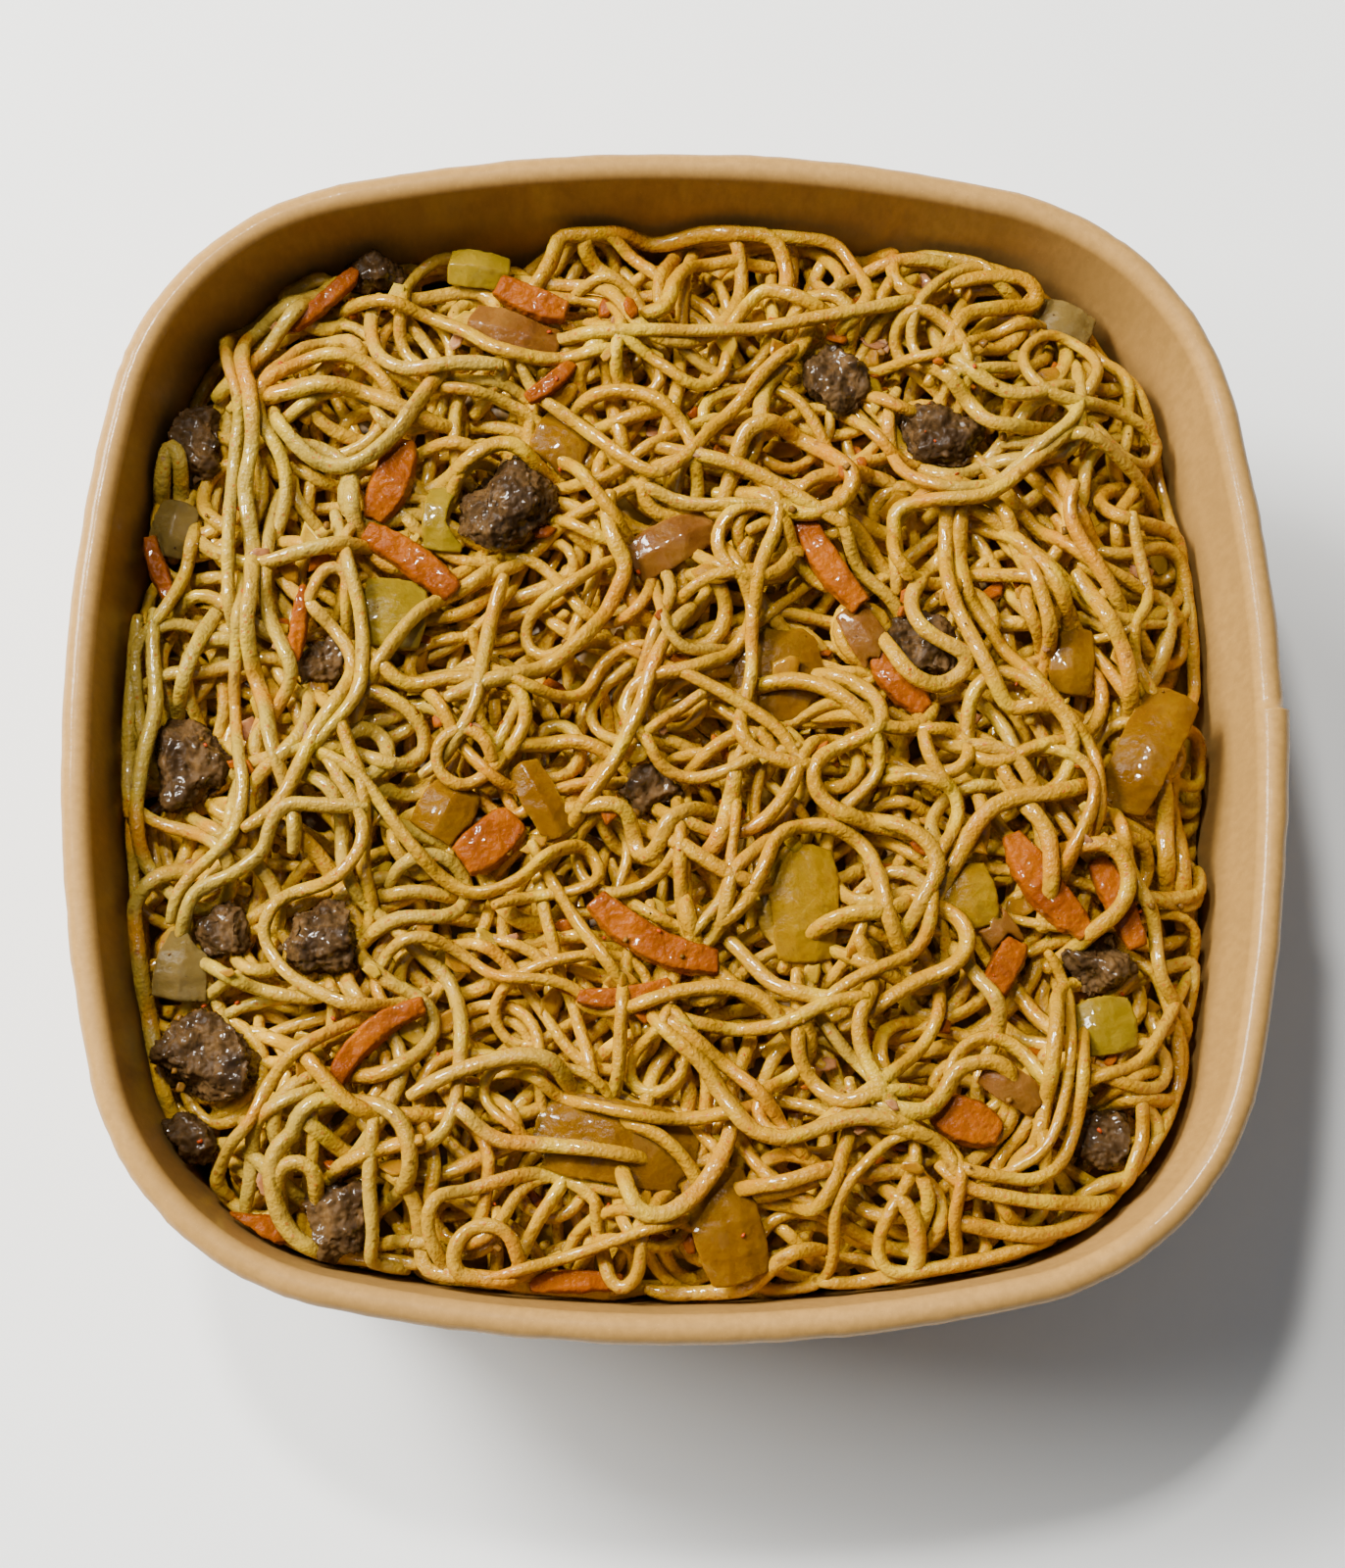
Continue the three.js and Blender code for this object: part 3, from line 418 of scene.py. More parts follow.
def onion_material(name, colour, edge):
    """Fried onion or pepper: two colours, fine veins and a wet film."""
    p = Paint(name)
    veins = p.noise(700, 3, 0.5, stretch=(0.22, 1.0, 1.0))
    broad = p.noise(130, 3, 0.6)
    base = p.mix(p.ramp(broad, 0.3, 0.7), colour, edge)
    base = p.mix(p.ramp(veins, 0.5, 0.7, 0.0, 0.35), base, shade(colour, 1.3))
    p.link(base, "Base Color")
    p.link(p.ramp(broad, 0.3, 0.7, 0.16, 0.32), "Roughness")
    p.relief(p.bump(p.noise(900, 3, 0.6), 0.7, 0.25, p.bump(broad, 0.8, 0.7, p.bump(veins, 0.7, 0.16))))
    p.wet(300, 0.52, 0.60, 0.85, 7.0)
    p.set(subsurface_weight=0.6, subsurface_radius=(0.003, 0.0022, 0.0009), subsurface_scale=1.0)
    return p.set(ior=1.42, coat_roughness=0.08, specular_ior_level=0.08).material


def flake_material(name, colour):
    """Small dry bits with a slight shine."""
    p = Paint(name)
    broad = p.noise(600, 2, 0.5)
    p.link(p.mix(p.ramp(broad, 0.3, 0.7), shade(colour, 0.6), colour), "Base Color")
    p.link(p.ramp(broad, 0.3, 0.7, 0.25, 0.45), "Roughness")
    return p.set(coat_weight=0.1, coat_roughness=0.15, specular_ior_level=0.1).material


# ---------------------------------------------------------------- the bowl
GAP = 0.3  # between the wall, the base's skirt and the fold
SKIRT = 0.6  # thickness of the base's skirt
FOLD_TOP = 5.0  # height of the wall's folded lower edge
INNER_HEIGHTS = (10, 20, 30, 40, 48, 53, 56)  # points up the wall's inner face
OUTER_HEIGHTS = (56, 50, 40, 25, 10, 0.6)  # points down its outer face
ROLL_OUT = range(180, -126, -15)  # degrees round the roll's outside, from the wall's inner face
ROLL_BACK = range(-125, 166, 24)  # degrees back round its inside
FOOT_EDGE = ((0.6, 0.1), (0.2, 0.0))  # (share of the board, height) of the points that round the foot
FOOT_SIDE = 0.6  # height where the rounded foot ends
LAP_BOARD = 0.4  # extra board where the wall's ends overlap
LAP_SWELL = 0.22  # how much fuller the roll is at the lap
LAP_FADE = 40.0  # length over which it thins again
LAP_RISE = 0.3  # width of the step at the lap's near edge
LAP_FALL = 0.25  # width of the step at its far edge
LAP_NEAR = 0.05  # a column this close to the lap's edge counts as on it


class Outline:
    """The rim's outer edge: bowed sides and round corners; parallel lines keep the same centres."""

    def __init__(self, bowl):
        self.half = bowl.rim_half
        self.side = bowl.side_arc
        self.corner = bowl.corner_arc
        self.side_centre = self.half - self.side
        gap = self.side - self.corner
        self.corner_centre = (self.side_centre + math.sqrt(2 * gap**2 - self.side_centre**2)) / 2
        self.split = math.atan2(self.corner_centre, self.corner_centre - self.side_centre)
        self.roll = bowl.roll
        self.rim_z = bowl.height - bowl.roll
        self.lean = math.tan(math.radians(bowl.taper))

    def angles(self, side_steps, corner_steps):
        """(quarter, on a corner, angle) of each column, anticlockwise from the lower end of the +X side."""
        columns = []
        for quarter in range(4):
            for i in range(side_steps):
                columns.append((quarter, False, self.split * (2 * i / side_steps - 1)))
            for i in range(corner_steps):
                angle = self.split + (math.pi / 2 - 2 * self.split) * i / corner_steps
                columns.append((quarter, True, angle))
        return columns

    def point(self, column, inset):
        """x and y of a column at an inset."""
        quarter, corner, angle = column
        radius = (self.corner if corner else self.side) - inset
        centre = (self.corner_centre, self.corner_centre) if corner else (self.side_centre, 0)
        x = centre[0] + radius * math.cos(angle)
        y = centre[1] + radius * math.sin(angle)
        for _ in range(quarter):
            x, y = -y, x
        return x, y

    def inset(self, x, y):
        """How far in from the rim's outer edge places in plan are."""
        far = np.maximum(np.abs(x), np.abs(y))
        near = np.minimum(np.abs(x), np.abs(y))
        on_corner = np.arctan2(near, far - self.side_centre) > self.split
        return np.where(
            on_corner,
            self.corner - np.hypot(far - self.corner_centre, near - self.corner_centre),
            self.side - np.hypot(far - self.side_centre, near),
        )

    def wall_inset(self, z):
        """Inset of the wall's inner face at a height."""
        return 2 * self.roll + (self.rim_z - z) * self.lean


def lap_at(bowl, column):
    """(extra board, how much fuller the roll is) beside the wall's glued side seam."""
    quarter, corner, angle = column
    y = bowl.side_arc * math.sin(angle)
    if quarter or corner or y > bowl.lap_to + LAP_NEAR:
        return 0.0, 1.0
    extra = LAP_BOARD if y >= bowl.lap_from - LAP_NEAR else 0.0
    return extra, 1 + LAP_SWELL * max(0, 1 - (bowl.lap_to - y) / LAP_FADE) ** 2


def wall_section(bowl, out, column):
    """The wall's closed section as (inset, height): fold, inner face, roll and back, outer face, foot."""
    extra, swell = lap_at(bowl, column)
    x, y = out.point(column, 0)
    crinkle = ripple(x, y, 0.16, 3) * 0.10 + ripple(x, y, 0.5, 9) * 0.05
    if column[1]:
        crinkle += 0.07 * ripple(x, y, 1.1, 1)
    roll = out.roll * (swell + crinkle * 0.5)
    lift = 0.28 * ripple(x, y, 0.03, 5)
    board = bowl.board
    layer = GAP + SKIRT + GAP
    section = [
        (out.wall_inset(FOLD_TOP) + layer + board, FOLD_TOP),
        (out.wall_inset(FOLD_TOP) + layer, FOLD_TOP),
        (out.wall_inset(board) + layer, board),
        (out.wall_inset(board), board),
    ]
    section += [(out.wall_inset(z), float(z)) for z in INNER_HEIGHTS]
    for radius, degrees in ((roll, ROLL_OUT), (roll - board, ROLL_BACK)):
        for angle in map(math.radians, degrees):
            inset = 2 * out.roll - roll - radius * math.cos(angle)
            section.append((inset, out.rim_z + lift + radius * math.sin(angle)))
    section += [(out.wall_inset(z) - board - extra, float(z)) for z in OUTER_HEIGHTS]
    foot = out.wall_inset(0)
    section += [(foot - board * share, z) for share, z in FOOT_EDGE]
    section += [(foot + layer + board * share, z) for share, z in reversed(FOOT_EDGE)]
    section.append((foot + layer + board, FOOT_SIDE))
    return section


def make_bowl_wall(bowl, material):
    """The wall with its fold, rolled rim, lap and slight dents."""
    dent_depth = 0.16
    dent_from, dent_to = 8, 54
    out = Outline(bowl)
    columns = out.angles(44, 30)
    for y in (bowl.lap_from - LAP_RISE, bowl.lap_from, bowl.lap_to, bowl.lap_to + LAP_FALL):
        columns.append((0, False, math.asin(y / bowl.side_arc)))
    columns.sort(key=lambda c: c[0] * math.pi / 2 + c[2])
    sections = [wall_section(bowl, out, column) for column in columns]
    verts = []
    for column, section in zip(columns, sections):
        for inset, z in section:
            x, y = out.point(column, inset)
            dent = dent_depth * ripple(x, y, 0.045, z * 0.03) if dent_from < z < dent_to else 0
            shrink = 1 - dent / math.hypot(x, y)
            verts.append((x * shrink, y * shrink, z))
    count = len(sections[0])
    faces = []
    for c in range(len(columns)):
        faces += band(c * count, (c + 1) % len(columns) * count, count)
    own(fast_object("kraft_wall", verts, faces, material), "board", "bowl_wall")


def disc_rings(out, columns, rings):
    """Points and faces of rings of the outline, each (inset, height), closed flat at both ends."""
    steps = 7
    n = len(columns)
    verts, faces = [], []
    for inset, z in rings:
        verts += [(*out.point(c, inset), z) for c in columns]
    for r in range(len(rings) - 1):
        faces += band(r * n, (r + 1) * n, n)
    for ring, order in ((0, -1), (len(rings) - 1, 1)):
        z = rings[ring][1]
        start = len(verts)
        for k in range(1, steps):
            share = 1 - k / steps
            verts += [(verts[ring * n + i][0] * share, verts[ring * n + i][1] * share, z) for i in range(n)]
        verts.append((0, 0, z))
        loops = [ring * n] + [start + k * n for k in range(steps - 1)]
        for a, b in zip(loops, loops[1:]):
            faces += [quad[::order] for quad in band(a, b, n)]
        faces += [triangle[::order] for triangle in fan(loops[-1], len(verts) - 1, n)]
    return verts, faces


def make_bowl_base(bowl, material):
    """The recessed base and its skirt, which stands between the wall and its fold."""
    inside = 0.9  # from the wall to the skirt's inner face
    bend = 1.2  # radius of the bend under the base
    under = 5.4  # height of the base's underside
    foot = 1.0  # height of the skirt's lower edge
    shoulder = 5.5  # height where the skirt turns into the base
    shoulder_gap = 0.32  # from the wall to the skirt there
    top = 6.0
    top_gap = 0.75
    out = Outline(bowl)
    rings = [
        (out.wall_inset(under) + inside + bend, under),
        (out.wall_inset(under) + inside + GAP, under - 0.35),
        (out.wall_inset(foot) + inside, foot),
        (out.wall_inset(foot) + GAP, foot),
        (out.wall_inset(shoulder) + shoulder_gap, shoulder),
        (out.wall_inset(top) + top_gap, top),
    ]
    verts, faces = disc_rings(out, out.angles(16, 14), rings)
    own(new_object("kraft_base", verts, faces, material), "board", "bowl_base")




# ---------------------------------------------------------------- the heap
CELL = 0.5  # width of a cell of the square grid that the noodles are laid over
REACH = 84.0  # the grid runs this far to each side of the bowl's middle
GRID = int(2 * REACH / CELL) + 1
FAR = 1e3  # a height that nothing reaches
GIVE = 0.93  # share of its thickness that a noodle keeps where others press on it
SLOPE = 0.8  # steepest rise or fall of a noodle, per mm of its length
SAG = 0.12  # how far a noodle sags between points one mm apart
CHUNK = 7  # length of the bits that the noodles are laid in
DIVE = 15  # length over which a noodle's end goes down under its neighbours
TRIES = 16  # routes drawn for each deep noodle, of which the best is kept
SEEK = 0.12  # how strongly a route turns to low ground
UNDER = 3.0  # how far below the heap's surface the deep noodles end
HEADROOM = 2.8  # how far above the heap's surface a noodle may rise
PIECES_TIME = 1.0  # the deep noodles are laid before this time, and most of the top ones after it
SPREAD = 8  # steps along a triangle's sides when a solid is spread over the grid


def heap_surface(x, y, out, noodles):
    """Height of the heap at places in plan: lower along the wall, and lower still beside the +X wall."""
    edge_width = 26
    right_from, right_width = 62, 18
    depth = np.clip((out.inset(x, y) - 2 * out.roll) / edge_width, 0, 1)
    edge = (1 - depth) ** 2.2
    t = np.clip((x - right_from) / right_width, 0, 1)
    return noodles.top - noodles.edge_drop * edge - noodles.right_drop * t * t * (3 - 2 * t)


def to_cell(value):
    """Number of the grid cell that a coordinate falls in."""
    return np.rint((value + REACH) / CELL).astype(int)


def at_cells(grid, xy):
    """The grid's values at places in plan."""
    i, j = np.clip(to_cell(xy), 0, GRID - 1).T
    return grid[j, i]


class Pile:
    """The height of what lies in the bowl, on a square grid, and how high a round strand rests on it."""

    def __init__(self, ground, limit):
        self.height = ground
        self.limit = limit
        self.roof = np.full_like(ground, FAR)
        self.blocks = np.full_like(ground, -FAR)
        self.kernels = {}

    def kernel(self, radius):
        """(rows, columns, rise) of the cells under a ball of this radius."""
        key = round(radius, 2)
        if key not in self.kernels:
            reach = int(radius / CELL) + 1
            dy, dx = np.mgrid[-reach : reach + 1, -reach : reach + 1]
            rise2 = radius**2 - (dx * CELL) ** 2 - (dy * CELL) ** 2
            keep = rise2 > 0
            self.kernels[key] = (dy[keep], dx[keep], np.sqrt(rise2[keep]))
        return self.kernels[key]

    def under(self, xy, radius):
        """(rows, columns, rise) of the cells under a ball at each place."""
        rows, columns, rise = self.kernel(radius)
        jj = np.clip(to_cell(xy[:, 1])[:, None] + rows[None], 0, GRID - 1)
        ii = np.clip(to_cell(xy[:, 0])[:, None] + columns[None], 0, GRID - 1)
        return jj, ii, rise[None]

    def rest(self, xy, radius):
        """Heights at which a strand rests on what lies there."""
        jj, ii, rise = self.under(xy, radius)
        return (self.height[jj, ii] + rise).max(1)

    def ceiling(self, xy, radius):
        """Greatest heights at which a strand stays under the roof and the heap's own limit."""
        jj, ii, rise = self.under(xy, radius)
        return np.minimum((self.roof[jj, ii] - rise).min(1), at_cells(self.limit, xy))

    def stamp(self, xy, z, radius):
        """Adds a strand to the pile."""
        jj, ii, rise = self.under(xy, radius)
        np.maximum.at(self.height, (jj, ii), z[:, None] + rise)

    def around(self, x, y, reach):
        """Mean height around a place, over this many cells to each side."""
        j, i = to_cell(y), to_cell(x)
        return float(self.height[j - reach : j + reach + 1, i - reach : i + reach + 1].mean())


def footprint(obj):
    """(highest z, lowest z) of a mesh over each grid cell, from points spread over its triangles."""
    mesh = obj.data
    co = np.empty(len(mesh.vertices) * 3)
    mesh.vertices.foreach_get("co", co)
    mesh.calc_loop_triangles()
    triangles = np.empty(len(mesh.loop_triangles) * 3, dtype=np.int32)
    mesh.loop_triangles.foreach_get("vertices", triangles)
    corner = (co.reshape(-1, 3) / MM)[triangles.reshape(-1, 3)]
    steps = np.array([(a, b) for a in range(SPREAD + 1) for b in range(SPREAD + 1 - a)]) / SPREAD
    u = steps[:, :1]
    v = steps[:, 1:]
    dense = corner[:, None, 0] * (1 - u - v) + corner[:, None, 1] * u + corner[:, None, 2] * v
    dense = dense.reshape(-1, 3)
    cells = (to_cell(dense[:, 1]), to_cell(dense[:, 0]))
    top = np.full((GRID, GRID), -FAR)
    bottom = np.full((GRID, GRID), FAR)
    np.maximum.at(top, cells, dense[:, 2])
    np.minimum.at(bottom, cells, dense[:, 2])
    return top, bottom


def evenly(path, step, least):
    """The path with its points spread evenly, about one step apart, and each one's distance along it."""
    along = np.concatenate([[0], np.cumsum(np.linalg.norm(np.diff(path, axis=0), axis=1))])
    even = np.linspace(0, along[-1], max(4, int(along[-1] / step) + least))
    return np.stack([np.interp(even, along, column) for column in path.T], 1), even


def smooth_route(points):
    """Points about one mm apart along a smooth curve through the given points (centripetal Catmull-Rom)."""
    fine = 14
    p = np.array(points, dtype=float)
    p = np.vstack([2 * p[0] - p[1], p, 2 * p[-1] - p[-2]])
    route = []
    for k in range(1, len(p) - 2):
        p0, p1, p2, p3 = p[k - 1 : k + 3]
        d = [max(1e-6, np.linalg.norm(b - a)) ** 0.5 for a, b in ((p0, p1), (p1, p2), (p2, p3))]
        t0, t1, t2, t3 = 0, d[0], d[0] + d[1], d[0] + d[1] + d[2]
        for t in np.linspace(t1, t2, fine, endpoint=False):
            a1 = (t1 - t) / (t1 - t0) * p0 + (t - t0) / (t1 - t0) * p1
            a2 = (t2 - t) / (t2 - t1) * p1 + (t - t1) / (t2 - t1) * p2
            a3 = (t3 - t) / (t3 - t2) * p2 + (t - t2) / (t3 - t2) * p3
            b1 = (t2 - t) / (t2 - t0) * a1 + (t - t0) / (t2 - t0) * a2
            b2 = (t3 - t) / (t3 - t1) * a2 + (t - t1) / (t3 - t1) * a3
            route.append((t2 - t) / (t2 - t1) * b1 + (t - t1) / (t2 - t1) * b2)
    route.append(p[-2])
    return evenly(np.array(route), 1.0, 1)[0]


def wander(rng, out, margin, length, excess):
    """Random routes in plan, all drawn at once: they bend, keep off the wall and seek low ground."""
    half = 78
    look_side, look_ahead = 0.5, 4.5  # angle and distance at which a route feels for low ground
    change, ease = 0.05, 0.2  # chance per mm that a bend changes, and how fast it gets there
    gentle_share = 0.82  # the other bends are curls
    slight, curl = 0.06, (0.12, 0.24)  # bends in radians per mm
    sharpest = 0.3
    wall_band, wall_turn = 12, 0.06  # the wall turns a route away within this distance of the margin
    facing_in = 0.7  # unless it already heads for the middle to within this angle
    spots = rng.uniform(-half, half, (40 * TRIES, 2))
    spots = spots[out.inset(spots[:, 0], spots[:, 1]) > margin + 1]
    x, y = spots[np.argsort(at_cells(excess, spots))[:TRIES]].T
    heading = rng.uniform(0, FULL_TURN, TRIES)
    bend = np.zeros(TRIES)
    goal = rng.normal(0, 0.05, TRIES)
    points = []
    for _ in range(int(length)):
        points.append(np.stack([x, y], 1))
        gentle = rng.random(TRIES) < gentle_share
        slow = rng.normal(0, slight, TRIES)
        tight = rng.choice((-1, 1), TRIES) * rng.uniform(*curl, TRIES)
        goal = np.where(rng.random(TRIES) < change, np.where(gentle, slow, tight), goal)
        look = np.concatenate([heading - look_side, heading + look_side])
        spots = np.tile(points[-1], (2, 1)) + look_ahead * np.stack([np.cos(look), np.sin(look)], 1)
        ahead = at_cells(excess, spots)
        pull = np.clip(ahead[:TRIES] - ahead[TRIES:], -3, 3) * SEEK
        bend += (goal + pull - bend) * ease
        room = out.inset(x, y) - margin
        off = (np.arctan2(-y, -x) - heading + math.pi) % FULL_TURN - math.pi
        nearness = np.clip(1 - room / wall_band, 0, 2) ** 1.5
        turn = wall_turn * np.sign(off) * np.minimum(1, np.abs(off)) * nearness
        bend = np.clip(bend + np.where(np.abs(off) > facing_in, turn, 0), -sharpest, sharpest)
        heading = heading + bend
        x = x + np.cos(heading)
        y = y + np.sin(heading)
    return np.stack(points, 1)


def keep_in(xy, out, need):
    """The route moved in to the least inset it needs, and a little further in from the +X wall."""
    right_from, right_width, right_extra = 45, 20, 1.0
    for _ in range(3):
        right = right_extra * np.clip((xy[:, 0] - right_from) / right_width, 0, 1)
        short = need + right - out.inset(xy[:, 0], xy[:, 1])
        move = np.clip(short, 0, None) * 1.05
        xy = xy * (1 - move / np.maximum(1, np.hypot(xy[:, 0], xy[:, 1])))[:, None]
    return xy


def prolong(xy, rng, reach=8):
    """The route with a bending end added at both sides, which dives under its neighbours."""
    for _ in range(2):
        heading = math.atan2(*(xy[0] - xy[3])[::-1])
        bend = rng.normal(0, 0.07)
        more = [xy[0]]
        for _ in range(reach):
            heading += bend
            more.append(more[-1] + (math.cos(heading), math.sin(heading)))
        xy = np.concatenate([more[:0:-1], xy])[::-1]
    return xy


class Strand:
    """One noodle: its route in plan, its heights, and the time at which each point is laid."""

    def __init__(self, xy, radius, time, stain, dip=0.5):
        self.xy = xy
        self.radius = radius
        self.stain = stain
        count = len(xy)
        s = np.arange(count, dtype=float)
        ends = np.maximum(1 - s / DIVE, 1 - (count - 1 - s) / DIVE)
        self.time = time - dip * np.clip(ends, 0, 1)
        self.z = np.full(count, np.nan)


def settle(z):
    """Lifts a strand between the places it rests on, as far as it doesn't sag."""
    for _ in range(4):
        padded = np.concatenate([z[:1], z, z[-1:]])
        z = np.maximum(z, (padded[:-2] + padded[2:]) / 2 - SAG)
    return z


def lay(strands, pile, add_pieces):
    """Lays the strands bit by bit, the earliest times first; add_pieces runs once, at PIECES_TIME."""
    jobs = []
    for number, strand in enumerate(strands):
        for start in range(0, len(strand.xy), CHUNK):
            end = min(start + CHUNK, len(strand.xy))
            jobs.append((float(strand.time[start:end].mean()), number, start, end))
    added = False
    for when, number, start, end in sorted(jobs):
        if when >= PIECES_TIME and not added:
            add_pieces()
            added = True
        strand = strands[number]
        xy = strand.xy[start:end]
        z = settle(pile.rest(xy, strand.radius * GIVE))
        if start and not math.isnan(strand.z[start - 1]):
            z = np.maximum(z, strand.z[start - 1] - SLOPE * np.arange(1, end - start + 1))
        if end < len(strand.xy) and not math.isnan(strand.z[end]):
            z = np.maximum(z, strand.z[end] - SLOPE * np.arange(end - start, 0, -1))
        z = np.minimum(z, pile.ceiling(xy, strand.radius))
        strand.z[start:end] = z
        pile.stamp(xy, z, strand.radius * GIVE)
    for strand in strands:
        for _ in range(5):
            padded = np.concatenate([strand.z[:1], strand.z, strand.z[-1:]])
            strand.z = 0.5 * strand.z + 0.25 * (padded[:-2] + padded[2:])


# Rings of a noodle's cut end: (share of its thickness, reach past the end in radii).
CUT_END = ((0.86, 0.14), (0.55, 0.30), (0.03, 0.36))


def tube(path, radius, sides, rng, step):
    """(points, four-sided faces) of a noodle: a soft-cornered square that slowly twists, with cut ends."""
    width, thickness = (0.94, 1.08), (0.78, 0.98)  # ranges of the half width and half height, in radii
    thinned, thinned_over = 0.25, 1.6  # how much thinner the ends are, and over what length
    squareness = 2 / 2.5
    path, even = evenly(path, step, 0)
    for _ in range(2):
        path[1:-1] = 0.5 * path[1:-1] + 0.25 * (path[:-2] + path[2:])
    forward = np.gradient(path, axis=0)
    forward /= np.linalg.norm(forward, axis=1)[:, None]
    side = np.stack([-forward[:, 1], forward[:, 0], np.zeros(len(path))], 1)
    side /= np.maximum(1e-6, np.linalg.norm(side, axis=1))[:, None]
    up = np.cross(forward, side)
    wide = radius * rng.uniform(*width)
    tall = radius * rng.uniform(*thickness)
    twist = rng.uniform(0, math.pi) + rng.normal(0, 0.012) * even
    long_wave = 0.05 * np.sin(even * rng.uniform(0.12, 0.3) + rng.uniform(0, 6))
    short_wave = 0.03 * np.sin(even * rng.uniform(0.7, 1.3) + rng.uniform(0, 6))
    swell = 1 + long_wave + short_wave
    swell *= 1 - thinned * np.exp(-np.minimum(even, even[-1] - even) / thinned_over)
    angle = np.arange(sides) * FULL_TURN / sides
    cx = np.sign(np.cos(angle)) * np.abs(np.cos(angle)) ** squareness * wide
    cy = np.sign(np.sin(angle)) * np.abs(np.sin(angle)) ** squareness * tall
    u = (cx[None] * np.cos(twist)[:, None] - cy[None] * np.sin(twist)[:, None]) * swell[:, None]
    v = (cx[None] * np.sin(twist)[:, None] + cy[None] * np.cos(twist)[:, None]) * swell[:, None]
    ring = path[:, None] + side[:, None] * u[..., None] + up[:, None] * v[..., None]
    ends = []
    for end, sign in ((0, -1), (-1, 1)):
        outward = sign * forward[end]
        ends.append([path[end] + outward * d * radius + (ring[end] - path[end]) * k for k, d in CUT_END])
    points = np.concatenate([ends[0][::-1], ring, ends[1]])
    a = np.arange(len(points) - 1)[:, None] * sides + np.arange(sides)[None]
    b = np.arange(len(points) - 1)[:, None] * sides + (np.arange(sides)[None] + 1) % sides
    quads = np.stack([a, b, b + sides, a + sides], -1).reshape(-1, 4)
    return points.reshape(-1, 3), quads


def noodle_object(name, strands, sides, step, material, rng, surface, crown):
    """Many noodles as one mesh, with each point's share of the golden colour and how low-lying it is; the
    material paints low-lying points with a brighter glow.
    """
    golden_from, golden_width = -75, 65  # noodles towards +X lean more to the golden colour, those towards -X to the pale one
    spare, buried_depth = 0.35, 5  # how far under the pile's top a point counts as buried
    lift, sunk_depth = 0.5, 8  # and how far under the heap's surface as sunk
    points, quads, stains, glow_shares = [], [], [], []
    start = 0
    for strand in strands:
        path = np.column_stack([strand.xy, strand.z])
        verts, faces = tube(path, strand.radius, sides, rng, step)
        points.append(verts)
        quads.append(faces + start)
        start += len(verts)
        stains.append(0.5 * strand.stain + 0.6 * np.clip((verts[:, 0] - golden_from) / golden_width, 0, 1))
        buried = np.clip((at_cells(crown, verts[:, :2]) - verts[:, 2] - spare) / buried_depth, 0, 1)
        sunk = np.clip((surface(verts[:, 0], verts[:, 1]) + lift - verts[:, 2]) / sunk_depth, 0, 1)
        # painted glow: how low a point lies sets how much of the brighter orange the material gives it
        glow_shares.append(np.clip(0.7 * buried + 0.5 * sunk, 0, 1))
    obj = fast_object(name, np.concatenate(points), np.concatenate(quads), material)
    point_data(obj, "tint", np.concatenate(stains))
    point_data(obj, "low", np.concatenate(glow_shares))
    return obj


